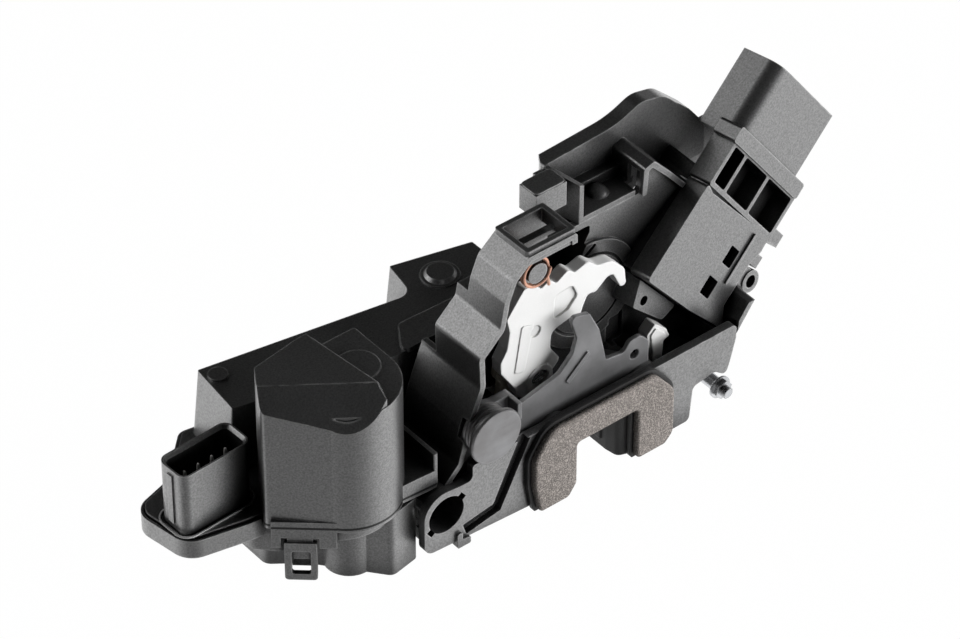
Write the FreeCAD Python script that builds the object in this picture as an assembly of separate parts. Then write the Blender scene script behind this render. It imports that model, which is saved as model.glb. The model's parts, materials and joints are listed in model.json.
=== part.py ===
import FreeCAD
import Part
import math
import os

Vec = FreeCAD.Vector

# Directions: X runs along the door edge face, -Y looks out of the latch face,
# Z is up from the surface that the latch lies on.
# Every place below is measured from the datum, a point under the claw pivot side of
# the latch; the finished pieces are moved once so that the origin is the middle of
# the underside.
datum_x = 1.39
datum_y = 9.58
datum_z = 0.0

# Levels through the depth of the latch, door side first
plate_front = -44.0
plate_t = 3.0
backing_t = 1.6
backing_margin = 1.3
foam_t = 2.4
steel_t = 1.5
layer_gap = 0.5
claw_t = 5.0
lever_t = 4.4
floor_front = -22.0
floor_t = 2.5
deep_floor_back = -13.5
seat_gap = 0.3
flange_front = -12.2
tray_back = flange_front - seat_gap
tray_wall = 2.0
rib_t = 1.6
plate_back = plate_front + plate_t
frame_back = plate_back + steel_t
strap_back = frame_back + steel_t
claw_front = strap_back + layer_gap
claw_back = claw_front + claw_t
lever_front = claw_back + layer_gap
lever_back = lever_front + lever_t
foam_front = plate_front - backing_t - foam_t
floor_back = floor_front + floor_t
tray_low = 2.6
skirt_top = 58.0
tier_z = 81.0
tier_floor = -26.5
tier_back = -24.5
loop_top = 100.6
loop_low = 95.2
loop_wall = 1.8

# Latch face plate and its foam gasket
plate_left = -57.3
plate_low = 0.6
plate_top = 31.2
plate_right = 68.5
mouth_left = 0.8
mouth_right = 24.4
mouth_top = 22.0
mouth_wall = 22.0
mouth_ceiling = 24.2
liner_t = 2.0
foam_left = -16.6
foam_right = 39.8
foam_top = 31.6
foam_low = 0.6
foam_mouth_left = 0.2
foam_mouth_right = 24.9
foam_mouth_top = 21.3
hole_x = -48.8
hole_z = 17.0
hole_r = 6.8
hole_barrel = 7.0
hole_wall = 2.2
notch_w = 3.0
notch_r = 8.3

# Claw, pawl and their pins
claw_x = -4.0
claw_z = 24.0
claw_hub_r = 9.5
claw_upper_r = 22.0
claw_lower_r = 24.0
claw_heel_r = 20.0
claw_turn = 34.0
pin_r = 4.0
pin_head_r = 6.0
running = 0.06
skin_t = 0.9
striker_x = 12.5
striker_z = 15.5
striker_r = 5.8
pawl_x = 33.0
pawl_z = 24.0
pawl_hub_r = 5.4
pawl_pin_r = 2.6
pawl_gap = 0.35

# Levers
screw_x = -2.4
screw_z = 38.6
screw_r = 3.1
screw_shank_r = 1.9
screw_head_t = 1.6
spring_x = -6.1
spring_z = 84.9
spring_front = -35.7
copper_r = 4.9
copper_wire = 0.55
lock_x = 45.4
lock_z = 20.0
lock_pin_r = 1.6
disc_x = -31.0
disc_z = 40.6
disc_r = 9.7
disc_t = 1.4
disc_front = -46.6
disc_pin_r = 3.0
coil_r = 7.4
coil_wire = 0.6
coil_turns = 4
coil_back = -38.4
handle_front = coil_back + 0.6
handle_back = handle_front + 3.0
stud_x = 62.0
stud_z = 8.0
stud_r = 2.4
eye_x = 29.8
eye_z = 36.0
eye_r = 1.8
tray_screw_r = 1.6
tray_screw_end = -7.0

# Actuator housing: the seam between base and cover is at seam_z
wall = 2.0
seam_z = 26.0
flange_t = 5.6
flange_reach = 1.4
rim_t = 0.9
rim_height = 1.3
base_low = 3.0
axle_foot = 4.0
box_top = 53.0
box_draft = 2.4
dome_x = -72.5
dome_y = -25.8
dome_r = 17.2
dome_top = 72.0
tower_top = 79.3
ledge_z = 33.0
ledge_top = 39.6
pocket_low = 0.0
clearance = 0.3
motor_low = 30.0

# Four-way connector on the cover's lobe
plug_x = -110.6
plug_y = -5.6
plug_long = 26.6
plug_wide = 12.4
plug_turn = 2.5
plug_top = 52.0
plug_wall = 1.4
plug_floor = 31.0
pin_pitch = 5.2
pin_w = 1.0
pin_top = 48.0

# Gear train: rotor pinion, two double gears and the toothed sector
module = 1.0
gear_z = 8.0
gear_t = 7.0
motor_teeth = 10
idler_teeth = 28
idler_pinion_teeth = 10
wheel_teeth = 18
wheel_pinion_teeth = 13
sector_teeth = 104
idler_angle = 92.0
gear_slack = 0.25
axle_r = 2.0
shaft_r = 1.15
sector_x = -5.8
sector_y = 12.6
sector_turn = 10.0
sector_low = seam_z + 3.0
sector_high = sector_low + 6.0
crank_length = 40.1
cam_reach = crank_length - 1.3
cam_t = 2.4
crank_angle = -97.2
crank_half = 2.2
crank_low = sector_low + 1.2
crank_high = crank_low + 3.6
gear_top = gear_z + gear_t
motor_pitch = module * motor_teeth / 2
pinion_room = motor_pitch + 1.5
idler_pitch = module * idler_teeth / 2
idler_pinion_pitch = module * idler_pinion_teeth / 2
wheel_pitch = module * wheel_teeth / 2
wheel_pinion_pitch = module * wheel_pinion_teeth / 2
sector_pitch = module * sector_teeth / 2

# Side group: panel, connector body and boss, square to each other and leaning back
side_x = 37.7
side_y = -36.0
side_z = 59.3
side_slope = 36.5
side_lean = 8.6
panel_long = 35.8
panel_wide = 43.4
panel_depth = 8.0
seat_step = 1.2
foot_depth = 5.0
block_start = 50.0
block_end = 79.4
block_wide = 40.3
block_deep = 15.7
block_wall = 1.6
connector_start = 52.4
socket_floor = 5.0
terminal_root = 4.0
block_round = 5.0
cell_depth = 8.8
ring_u = 21.6
ring_v = 49.2
ring_r = 3.9
ring_bore_r = 2.2
ring_len = 9.0

# Upper hood
hood_front = -8.6
hood_back = -3.3
hood_wall = 2.0
shelf_z = 83.5
shelf_low = shelf_z - hood_wall


def corner_points(corners, place):
    """Tangent points and arc middles of each rounded corner of a closed outline."""
    spans = []
    count = len(corners)
    for i in range(count):
        ax, ay = corners[i - 1][:2]
        bx, by, radius = corners[i]
        cx, cy = corners[(i + 1) % count][:2]
        before = Vec(ax - bx, ay - by, 0)
        after = Vec(cx - bx, cy - by, 0)
        half = before.getAngle(after) / 2
        before.normalize()
        after.normalize()
        if radius <= 0.01 or half > math.pi / 2 - 0.01:
            spans.append((place(bx, by), None, place(bx, by)))
            continue
        reach = radius / math.tan(half)
        start = Vec(bx, by, 0) + before * reach
        end = Vec(bx, by, 0) + after * reach
        bisector = before + after
        bisector.normalize()
        middle = Vec(bx, by, 0) + bisector * (radius / math.sin(half) - radius)
        spans.append((place(start.x, start.y), place(middle.x, middle.y), place(end.x, end.y)))
    return spans


def outline(corners, place):
    """Closed wire through corners (a, b, radius); place(a, b) puts a point in space."""
    spans = corner_points(corners, place)
    edges = []
    for i, (start, middle, end) in enumerate(spans):
        previous = spans[i - 1][2]
        if previous.distanceToPoint(start) > 1e-4:
            edges.append(Part.LineSegment(previous, start).toShape())
        if middle is not None:
            edges.append(Part.Arc(start, middle, end).toShape())
    return Part.Wire(edges)


def turns_left(corners):
    """True where the outline runs anticlockwise."""
    pairs = zip(corners, corners[1:] + corners[:1])
    return sum(a[0] * b[1] - b[0] * a[1] for a, b in pairs) > 0


def inset(corners, depth):
    """Corners (a, b, radius) of the same outline moved inwards by depth."""
    side = 1 if turns_left(corners) else -1
    moved = []
    count = len(corners)
    for i in range(count):
        ax, ay = corners[i - 1][:2]
        bx, by, radius = corners[i]
        cx, cy = corners[(i + 1) % count][:2]
        first = Vec(bx - ax, by - ay, 0).normalize()
        second = Vec(cx - bx, cy - by, 0).normalize()
        turn = first.x * second.y - first.y * second.x
        shift = math.tan(math.atan2(turn, first.dot(second)) / 2)
        x = bx + side * depth * (-first.y - first.x * shift)
        y = by + side * depth * (first.x - first.y * shift)
        moved.append((x, y, max(radius - depth, 0.3) if turn * side > 0 else radius + depth))
    return moved


def slab_z(corners, low, high):
    face = Part.Face(outline(corners, lambda a, b: Vec(a, b, low)))
    return face.extrude(Vec(0, 0, high - low))


def slab_y(corners, front, back):
    face = Part.Face(outline(corners, lambda a, b: Vec(a, front, b)))
    return face.extrude(Vec(0, back - front, 0))


def drafted(corners, low, high, draft):
    """Solid whose outline shrinks by draft from low to high."""
    foot = outline(corners, lambda a, b: Vec(a, b, low))
    head = outline(inset(corners, draft), lambda a, b: Vec(a, b, high))
    return Part.makeLoft([foot, head], True, True)


def rod_y(x, z, radius, front, back):
    return Part.makeCylinder(radius, back - front, Vec(x, front, z), Vec(0, 1, 0))


def rod_z(x, y, radius, low, high):
    return Part.makeCylinder(radius, high - low, Vec(x, y, low), Vec(0, 0, 1))


def tube_y(x, z, outer, inner, front, back):
    return rod_y(x, z, outer, front, back).cut(rod_y(x, z, inner, front - 1, back + 1))


def tube_z(x, y, outer, inner, low, high):
    return rod_z(x, y, outer, low, high).cut(rod_z(x, y, inner, low - 1, high + 1))


def brick(x0, x1, y0, y1, z0, z1):
    return Part.makeBox(x1 - x0, y1 - y0, z1 - z0, Vec(x0, y0, z0))


def join(shapes):
    whole = shapes[0].multiFuse(shapes[1:]) if len(shapes) > 1 else shapes[0]
    return whole.removeSplitter()


def side_frame():
    """Placement of the side group: its own x and y span the panel, z goes in."""
    slope = math.radians(side_slope)
    lean = math.radians(side_lean)
    along = Vec(math.cos(slope) * math.cos(lean), math.sin(lean), math.sin(slope) * math.cos(lean))
    across = Vec(math.sin(slope), 0, -math.cos(slope))
    inward = along.cross(across)
    turn = FreeCAD.Rotation(along, across, inward, "XYZ")
    return FreeCAD.Placement(Vec(side_x, side_y, side_z), turn)


def to_side(shape):
    placed = shape.copy()
    placed.Placement = side_frame().multiply(placed.Placement)
    return placed


def coil_z(radius, pitch, half_turns, wire_r):
    """Round wire wound about Z from z = 0 up, each half turn tilted to climb half a pitch."""
    tilt = math.degrees(math.asin(pitch / 4 / radius))
    halves = []
    for k in range(half_turns):
        half = Part.makeTorus(radius, wire_r, Vec(0, 0, 0), Vec(0, 0, 1), -180, 180, 180)
        half.rotate(Vec(0, 0, 0), Vec(0, 0, 1), 180 * k)
        half.rotate(Vec(0, 0, 0), Vec(0, 1, 0), tilt if k % 2 == 0 else -tilt)
        half.translate(Vec(0, 0, pitch / 4 + k * pitch / 2))
        halves.append(half)
    return join(halves)


def gear(teeth, low, high, bore, first_angle):
    """Spur gear about Z with straight-flanked teeth; a tooth points at first_angle."""
    pitch_r = module * teeth / 2
    root_r = pitch_r - 1.2 * module
    tip_r = pitch_r + 0.85 * module
    step = 2 * math.pi / teeth
    root_half = 0.27 * step
    tip_half = 0.11 * step
    points = []
    for k in range(teeth):
        middle = math.radians(first_angle) + k * step
        for radius, offset in ((root_r, -root_half), (tip_r, -tip_half), (tip_r, tip_half), (root_r, root_half)):
            angle = middle + offset
            points.append(Vec(radius * math.cos(angle), radius * math.sin(angle), low))
    points.append(points[0])
    body = Part.Face(Part.makePolygon(points)).extrude(Vec(0, 0, high - low))
    return body.cut(rod_z(0, 0, bore, low - 1, high + 1))


def at(shape, x, y, z=0.0):
    moved = shape.copy()
    moved.translate(Vec(x, y, z))
    return moved


def turned(corners, angle, a, b):
    """Corners (a, b, radius) turned about their origin, then moved to a, b."""
    cos = math.cos(math.radians(angle))
    sin = math.sin(math.radians(angle))
    return [(a + p * cos - q * sin, b + p * sin + q * cos, radius) for p, q, radius in corners]


def polar(radius, angle):
    return radius * math.cos(math.radians(angle)), radius * math.sin(math.radians(angle))


def arc_corners(radius, start, end):
    """One rounded corner that follows a circle about the origin from start to end degrees."""
    middle = (start + end) / 2
    reach = radius / math.cos(math.radians((end - start) / 2))
    return [polar(reach, middle) + (0.97 * radius,)]


def meet(ax, ay, first, bx, by, second):
    """Upper crossing of two circles; sets the gear that meshes with two others."""
    span = math.hypot(bx - ax, by - ay)
    along = (first ** 2 - second ** 2 + span ** 2) / (2 * span)
    side = math.sqrt(first ** 2 - along ** 2)
    ux = (bx - ax) / span
    uy = (by - ay) / span
    return ax + along * ux - side * uy, ay + along * uy + side * ux


# Gear centres

def idler_place():
    reach_x, reach_y = polar(motor_pitch + idler_pitch + gear_slack, idler_angle)
    return dome_x + reach_x, dome_y + reach_y


def wheel_place():
    x, y = idler_place()
    return meet(x, y, idler_pinion_pitch + wheel_pitch + gear_slack,
                sector_x, sector_y, wheel_pinion_pitch + sector_pitch + gear_slack)


# Outlines that several pieces share

def box_outline():
    """Foot of the flat gear housing, with the raised back corner over the output."""
    front = flange_front + 0.8
    return [(-96.4, 1.2, 3), (-40, front, 1), (14.6, front, 2), (14.6, 20.9, 3),
            (-17.4, 28.9, 3), (-20.2, 13.9, 2), (-93.6, 26.7, 3)]


def flange_outline():
    """Seam flange: gear housing, motor tower and the connector lobe on the left."""
    reach = dome_r + flange_reach
    low = dome_y - 2.334 * reach
    return [(-124.6, -14.2, 8), (-104, -18.6, 4), (-98.5, -19.2, 3), (dome_x + reach, low, reach),
            (dome_x + reach, flange_front, 1), (15.6, flange_front, 2), (15.6, 21.9, 3), (-18.2, 30.1, 3),
            (-21.0, 15.2, 2), (-96.5, 28.4, 4), (-112.4, 12.9, 8), (-128.4, 8.3, 7)]


def tower_outline():
    """Motor tower: flat diagonal wall on the left that runs into the round dome."""
    low = dome_y - 2.334 * dome_r
    return [(-101.2, -21.8, 2), (dome_x + dome_r, low, dome_r), (dome_x + dome_r, -8.0, 1),
            (-94.6, -8.0, 1)]


def pocket_outline():
    """Deep well under the motor, widened on the left for the first double gear."""
    return [(-84.5, -19.5, 4), (-67.2, -40.8, 3), (-56.0, -38.9, 2), (-56.0, 6.0, 2), (-94.5, 6.0, 3),
            (-94.5, -12.0, 4)]


def lump_outline():
    """Shallow rounded well behind the clip."""
    return [(-103, -14, 7), (-96, -22, 6), (-82, -26, 5), (-78, 2, 4), (-99, 4, 5)]


def plug_corners(margin):
    half_l = plug_long / 2 + margin
    half_w = plug_wide / 2 + margin
    radius = 3.2 + margin
    return [(-half_l, -half_w, radius), (half_l, -half_w, radius), (half_l, half_w, radius),
            (-half_l, half_w, radius)]


def turn_plug(shape):
    placed = shape.copy()
    placed.rotate(Vec(0, 0, 0), Vec(0, 0, 1), plug_turn)
    placed.translate(Vec(plug_x, plug_y, 0))
    return placed


def tray_rim():
    """Left, wavy edge of the latch tray, from the cable boss up to the clip loop."""
    left = dome_x + dome_r + flange_reach + seat_gap
    return [(left, tray_low, 2), (left, 21.6, 1), (-48.0, 25.0, 1.5), (-41.6, 31.6, 2), (-38.6, 43.0, 3),
            (-33.0, 57.5, 4), (-33.4, 69.2, 3), (-25.4, 76.6, 2.5), (-23.6, 86.0, 3),
            (-20.6, 93.4, 3), (-14.0, 99.0, 1)]


def floor_outline():
    """Whole tray floor: the wavy left edge and the stepped right-hand side."""
    right = [(4.4, 99.0, 1), (5.2, shelf_low, 2), (46.0, shelf_low, 2), (46.4, 89.4, 1), (50.0, 90.6, 2),
             (63.0, 75.0, 2), (66.0, 75.0, 2), (69.2, 78.2, 2), (98.0, 53.0, 2), (91.0, 40.4, 3),
             (78.6, 33.2, 3), (69.6, 20.6, 3), (66.4, 12.6, 2), (59.8, 15.8, 3), (51.6, 14.4, 2),
             (50.6, tray_low, 2), (mouth_wall, tray_low, 1), (mouth_wall, mouth_ceiling, 2),
             (-1.4, mouth_ceiling, 2), (-1.4, tray_low, 1)]
    return list(reversed(tray_rim() + right))


def well_outline():
    """Deep corner of the tray beside the upper spring."""
    return [(6.4, 62.0, 3), (17.0, 62.0, 3), (25.6, 76.4, 1), (25.6, shelf_low - 2.4, 1),
            (6.4, shelf_low - 2.4, 3)]


def plate_outline():
    """Latch face plate with its cable boss on the left and the open striker mouth."""
    return [(plate_left, 4.4, 4), (-14.5, plate_low + 1.0, 2), (mouth_left, plate_low, 1.5),
            (mouth_left, mouth_top, 2), (mouth_right, mouth_top, 2), (mouth_right, plate_low, 1),
            (49.6, plate_low, 2), (50.9, 13.8, 2),
            (59.8, 15.4, 3), (64.6, 11.6, 1.5), (66.2, 16.0, 3), (plate_right, 25.0, 2),
            (plate_right, plate_top - 0.6, 2), (-15.7, plate_top - 0.6, 2), (-20.0, plate_top, 1),
            (-38.4, plate_top, 1), (-38.4, 25.4, 2), (-44.0, 25.6, 3), (plate_left, 27.2, 8)]


def foam_outline():
    """Foam gasket: an arch over the mouth with a wide rounded shoulder on the left."""
    return [(-14.4, foam_low, 1.5), (foam_left, 12.0, 4), (foam_left, 22.6, 6), (-10.4, foam_top, 7),
            (32.0, foam_top, 6), (foam_right, 22.0, 6), (foam_right, 4.0, 4), (36.4, foam_low, 2),
            (foam_mouth_right, foam_low, 1.5), (foam_mouth_right, foam_mouth_top, 1.5),
            (foam_mouth_left, foam_mouth_top, 1.5), (foam_mouth_left, 5.0, 2), (-3.0, foam_low, 2)]


def lever_outline():
    """White release lever: broad foot at the screw, toothed back and a hooked nose."""
    return [(-10.2, 34.2, 2), (-1.6, 35.8, 3), (4.0, 40.6, 2), (5.8, 42.6, 2), (1.8, 48.8, 3),
            (2.2, 55.2, 3), (9.6, 56.8, 1), (13.2, 54.6, 1.5), (14.8, 58.8, 2), (16.6, 62.6, 1.5),
            (19.8, 61.8, 1.5), (24.4, 65.4, 1.5), (26.8, 65.4, 2), (29.8, 58.8, 0.8), (32.2, 58.2, 1),
            (31.4, 65.4, 4), (26.4, 70.8, 5), (20.4, 72.0, 3), (16.6, 75.6, 2), (11.2, 74.0, 1),
            (8.6, 76.4, 1.5), (4.0, 73.6, 1), (1.2, 76.2, 1.5), (-2.0, 74.4, 1), (-4.0, 76.8, 1.5),
            (-8.6, 77.8, 1.5), (-15.4, 69.0, 1.5), (-14.2, 63.6, 1), (-15.2, 57.0, 2), (-17.8, 52.8, 2),
            (-17.6, 48.6, 2), (-12.2, 40.0, 2)]


def strap_outline():
    """Steel strap behind the plate: two arms, a gap between them and an eye on the right."""
    return [(-16.2, 26.0, 1), (26.0, 26.0, 1), (35.6, 26.0, 1), (35.6, 38.8, 2.5), (32.0, 42.6, 3),
            (27.8, 42.2, 2), (25.6, 38.9, 2), (18.2, 40.2, 1), (15.2, 54.2, 6), (11.2, 62.6, 1.5),
            (3.4, 64.8, 1.5), (6.4, 55.4, 2), (4.8, 49.6, 2), (-0.6, 44.2, 3), (-16.2, 40.8, 1)]


# Actuator housing

def base_cavity():
    gears = slab_z(inset(box_outline(), wall + 1.2), base_low + wall, seam_z + 1)
    well = slab_z(inset(pocket_outline(), wall), pocket_low + wall, seam_z + 1)
    well = well.fuse(rod_z(dome_x, dome_y, pinion_room, pocket_low + wall, seam_z + 1))
    motor_room = slab_z(inset(flange_outline(), wall + 1.6), seam_z - flange_t + wall, seam_z + 1)
    lobe = brick(-140, -99, -40, 40, 0, 40)
    return join([gears, well, motor_room.cut(lobe)])


def tray_screw_places():
    return [(-47.0, 10.0), (-30.0, 12.0)]


def actuator_base():
    """Lower housing: seam flange, gear tub, motor well and a tooth for the clip."""
    body = join([slab_z(flange_outline(), seam_z - flange_t, seam_z),
                 slab_z(inset(box_outline(), 1.2), base_low, seam_z - 1),
                 slab_z(pocket_outline(), pocket_low, seam_z - 1),
                 rod_z(dome_x, dome_y, pinion_room + wall, pocket_low, seam_z - 1),
                 slab_z(lump_outline(), seam_z - flange_t - 7, seam_z - 1)])
    body = body.cut(base_cavity())
    stands = [idler_place() + (pocket_low + 1.0,), (sector_x, sector_y, base_low)]
    posts = [rod_z(x, y, axle_r + 2.0, foot, gear_z - clearance) for x, y, foot in stands]
    holes = [rod_z(x, y, axle_r, axle_foot, gear_z) for x, y, foot in stands]
    bosses = [rod_y(x, z, 3.5, flange_front, flange_front + 6.4) for x, z in tray_screw_places()]
    pilots = [rod_y(x, z, tray_screw_r, flange_front - 1, tray_screw_end + 0.2)
              for x, z in tray_screw_places()]
    tooth = clip_local(Part.makeBox(5.0, 9.0, 3.4, Vec(-4.0, -2.0, -11.6)))
    neck = clip_local(Part.makeBox(6.0, 7.0, 12.0, Vec(-4.5, 0.0, -16.2)))
    body = join([body, tooth, neck, seam_rim()] + posts + bosses)
    for hole in holes + pilots:
        body = body.cut(hole)
    return body


def seam_rim():
    """Raised lip round the lobe and the motor tower, a narrow gap outside the cover."""
    rim = slab_z(flange_outline(), seam_z - 0.5, seam_z + rim_height)
    rim = rim.cut(slab_z(inset(flange_outline(), rim_t), seam_z - 1, seam_z + rim_height + 1))
    rim = rim.common(brick(-140, dome_x + dome_r + 1.0, -60, 40, 0, 40))
    rim = rim.cut(brick(dome_x + 6.0 - clearance, 0, -60, -13.0 + clearance, 0, 40))
    rim = rim.cut(slab_z(inset(tower_outline(), -clearance), seam_z - 1, seam_z + 9))
    return rim.cut(clip_local(Part.makeBox(22.0, 4.6, 13.0, Vec(-11.5, -3.4, -7.0))))


def clip_local(shape):
    """Places the clip on the diagonal wall: its own x runs along the wall, -y out."""
    placed = shape.copy()
    placed.rotate(Vec(0, 0, 0), Vec(0, 0, 1), -41.0)
    placed.translate(Vec(-91.0, -29.0, seam_z))
    return placed


def clip_strap():
    """Clip pad with two slots and the hanging loop that snaps over the tooth."""
    pad = Part.makeBox(20.0, 2.4, 10.5, Vec(-10.5, -2.6, -6.6))
    slots = [Part.makeBox(1.9, 4, 5.0, Vec(x, -4, -7.6)) for x in (-7.6, 2.2)]
    loop_corners = [(-6.6, -19.0, 1.2), (3.4, -19.0, 1.2), (3.4, -4.0, 0.4), (-6.6, -4.0, 0.4)]
    window = [(-4.4, -16.6, 0.8), (1.4, -16.6, 0.8), (1.4, -7.4, 0.8), (-4.4, -7.4, 0.8)]
    loop = slab_y(loop_corners, -3.4, -1.6).cut(slab_y(window, -6, 2))
    strap = pad.cut(slots[0]).cut(slots[1]).fuse(loop)
    return clip_local(strap)


def motor_tower():
    """Round dome and, left of a slanting line across it, the taller five-sided tower."""
    dome = rod_z(dome_x, dome_y, dome_r, seam_z, dome_top)
    tower = slab_z(tower_outline(), seam_z, tower_top)
    right_of_ridge = slab_z([(-73.7, -6.0, 0), (-69.4, -46.0, 0), (-40, -46, 0), (-40, -6, 0)],
                            dome_top, tower_top + 1)
    tower = tower.cut(right_of_ridge)
    tower = tower.common(slab_z([(-103.5, -24.0, 0), (-60.0, -60, 0), (-20, -60, 0), (-20, 0, 0),
                                 (-94.8, -10.6, 0)], seam_z, tower_top + 1))
    fall = 10.7
    depth = 6.4
    start = Vec(-99.0, -18.0, tower_top)
    along = Vec(29.0, -21.0, 0).normalize()
    outward = Vec(-along.y, along.x, 0) * -1
    chamfer = Part.Face(Part.makePolygon([start, start + outward * 3 * depth - Vec(0, 0, 3 * fall),
                                          start + outward * 3 * depth + Vec(0, 0, 4),
                                          start + Vec(0, 0, 4), start]))
    chamfer.translate(along * -20)
    return join([dome, tower]).cut(chamfer.extrude(along * 80))


def crank_window(front, back):
    """Slot that the swinging crank passes through in a wall between front and back."""
    reach = sector_y - front
    first = sector_x + reach * math.tan(math.radians(crank_angle + 90))
    last = sector_x + reach * math.tan(math.radians(crank_angle - sector_turn + 90))
    side = crank_half + 1.6
    return brick(min(last, first) - side, max(last, first) + side, front - 0.5, back + 0.5,
                 crank_low - 1.0, crank_high + 1.0)


def side_ledge():
    """Ledge between the dome and the tray, with an upright wall along its edge."""
    right = dome_x + dome_r + 6.5
    step = slab_z([(dome_x + 6.0, -39.0, 0), (right, -40.2, 1), (right, -13.0, 0.5), (dome_x + 6.0, -13.0, 0)],
                  seam_z, ledge_z)
    wall_piece = slab_z([(right - 1.5, -40.0, 0.5), (right, -40.2, 0.5), (right, -13.0, 0.5), (right - 1.5, -13.0, 0.5)],
                        seam_z + 1, ledge_top)
    return join([step, wall_piece]).cut(rod_y(hole_x, hole_z, hole_r + hole_wall + clearance, -60, 0))


def actuator_cover():
    """Upper housing: flat gear box, dome and tower, ledge by the tray and the clip."""
    flat = drafted(box_outline(), seam_z, box_top, box_draft)
    lobe = slab_z(inset(flange_outline(), rim_t + 0.4), seam_z, seam_z + 2.4)
    plate = slab_z([(-38.5, -9.4, 2), (-9.0, -9.4, 0.5), (-9.0, 1.0, 0.5), (-31.0, 1.8, 2)],
                   box_top - 1, box_top + 0.9)
    button = rod_z(sector_x, sector_y, 6.4, box_top - 1, box_top + 0.5)
    crown = Part.makeCone(5.2, 4.4, 1.2, Vec(sector_x, sector_y, box_top + 0.5))
    rings = [rod_z(dome_x + 7.0, dome_y + 3.0, 7.0, dome_top - 1, dome_top + 0.5),
             rod_z(-88.0, 18.0, 3.2, box_top - 1, box_top + 0.8)]
    body = join([flat, motor_tower(), lobe, plate, button, crown, side_ledge()] + rings)
    hollow = drafted(inset(box_outline(), wall), seam_z - 1, box_top - wall, box_draft)
    motor_room = rod_z(dome_x, dome_y, dome_r - wall, seam_z - 1, dome_top - wall)
    body = body.cut(hollow).cut(motor_room)
    body = body.cut(turn_plug(slab_z(plug_corners(clearance), seam_z - 1, seam_z + 6)))
    body = body.cut(crank_window(flange_front + 0.8, flange_front + wall + 3.0))
    wheel_x, wheel_y = wheel_place()
    seat_low = sector_high + 1.0
    wheel_room = rod_z(wheel_x, wheel_y, module * (wheel_teeth / 2 + 1) + clearance, seam_z - 1, seat_low)
    sector_room = rod_z(sector_x, sector_y, module * (sector_teeth / 2 + 1) + clearance, seam_z - 1, seat_low)
    beside_wheel = brick(wheel_x, wheel_x + 14.0, -12, wheel_y, 0, 60)
    body = body.cut(wheel_room).cut(sector_room.common(beside_wheel))
    top = box_top - wall + 0.5
    seats = [tube_z(wheel_x, wheel_y, axle_r + 2.0, axle_r, seat_low, top),
             tube_z(sector_x, sector_y, axle_r + 2.0, axle_r, seat_low, top)]
    return join([body, clip_strap()] + seats)


# Motor and gear train

def lock_motor():
    """Motor can with a bearing neck at each end; the rotor turns inside it."""
    outer = dome_r - wall - clearance
    can = rod_z(dome_x, dome_y, outer, motor_low, dome_top - wall)
    can = can.fuse(rod_z(dome_x, dome_y, 4.0, motor_low - 3.0, motor_low))
    room = rod_z(dome_x, dome_y, outer - 1.2, motor_low + 2.0, dome_top - wall - 3.0)
    bore = rod_z(dome_x, dome_y, shaft_r + running, motor_low - 4.0, dome_top - wall - 1.0)
    return can.cut(room).cut(bore)


def motor_rotor():
    """Shaft, slotted armature and the drive pinion."""
    shaft = rod_z(dome_x, dome_y, shaft_r, gear_z, dome_top - wall - 1.2)
    armature = rod_z(dome_x, dome_y, 9.5, motor_low + 6.0, dome_top - wall - 9.0)
    for k in range(3):
        slot = Part.makeBox(6.0, 2.0, 40.0, Vec(5.5, -1.0, motor_low + 5.0))
        slot.rotate(Vec(0, 0, 0), Vec(0, 0, 1), 120.0 * k)
        armature = armature.cut(at(slot, dome_x, dome_y))
    pinion = at(gear(motor_teeth, gear_z, gear_top, shaft_r - 0.2, idler_angle), dome_x, dome_y)
    return join([shaft, armature, pinion])


def idler_gear():
    x, y = idler_place()
    wx, wy = wheel_place()
    away = math.degrees(math.atan2(wy - y, wx - x))
    wheel = gear(idler_teeth, gear_z, gear_top, axle_r + running, idler_angle + 180 + 180 / idler_teeth)
    pinion = gear(idler_pinion_teeth, gear_top, gear_top + gear_t, axle_r + running, away)
    return at(join([wheel, pinion]), x, y)


def drive_wheel():
    x, y = wheel_place()
    ix, iy = idler_place()
    back = math.degrees(math.atan2(iy - y, ix - x))
    out = math.degrees(math.atan2(sector_y - y, sector_x - x))
    bore = axle_r + running
    wheel = gear(wheel_teeth, gear_top + 0.5, gear_top + gear_t - 0.5, bore, back + 180 / wheel_teeth)
    neck = tube_z(0, 0, 4.2, bore, gear_top + gear_t - 0.5, sector_low - 0.4)
    pinion = gear(wheel_pinion_teeth, sector_low - 0.4, sector_high + 0.4, bore, out)
    return at(join([wheel, neck, pinion]), x, y)


def drive_sector():
    """Toothed sector on a cranked arm, with the output crank through the housing wall."""
    wx, wy = wheel_place()
    mesh = math.degrees(math.atan2(wy - sector_y, wx - sector_x)) % 360
    step = 360.0 / sector_teeth
    bore = axle_r + running
    teeth = gear(sector_teeth, sector_low, sector_high, sector_pitch - 4.0, mesh + step / 2)
    first = mesh - sector_turn - 0.5 * step
    last = mesh + 0.5 * step
    far = sector_pitch + 10.0
    wedge = [(0, 0, 0), polar(far, first) + (0,), polar(far, last) + (0,)]
    teeth = teeth.common(slab_z(wedge, sector_low - 1, sector_high + 1))
    low_in = polar(sector_pitch - 3.0, last)
    high_in = polar(sector_pitch - 3.0, first)
    low_out = polar(sector_pitch - 11.0, last)
    high_out = polar(sector_pitch - 11.0, first)
    arm = slab_z([(-2.0, -5.6, 0), (-17.5, -12.0, 6), low_out + (4,), low_in + (0,), high_in + (0,),
                  high_out + (4,), (-22.0, -3.4, 8), (-12.0, -2.6, 6), (-5.0, 3.0, 0)],
                 sector_low, sector_high)
    hub = rod_z(0, 0, 6.0, sector_low - 0.6, sector_high + 0.6)
    whole = join([teeth, arm, hub])
    whole.rotate(Vec(0, 0, 0), Vec(0, 0, 1), sector_turn)
    crank = brick(0, crank_length, -crank_half, crank_half, crank_low, crank_high)
    crank.rotate(Vec(0, 0, 0), Vec(0, 0, 1), crank_angle)
    whole = join([whole, crank]).cut(rod_z(0, 0, bore, 0, 60))
    return at(whole, sector_x, sector_y)


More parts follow.
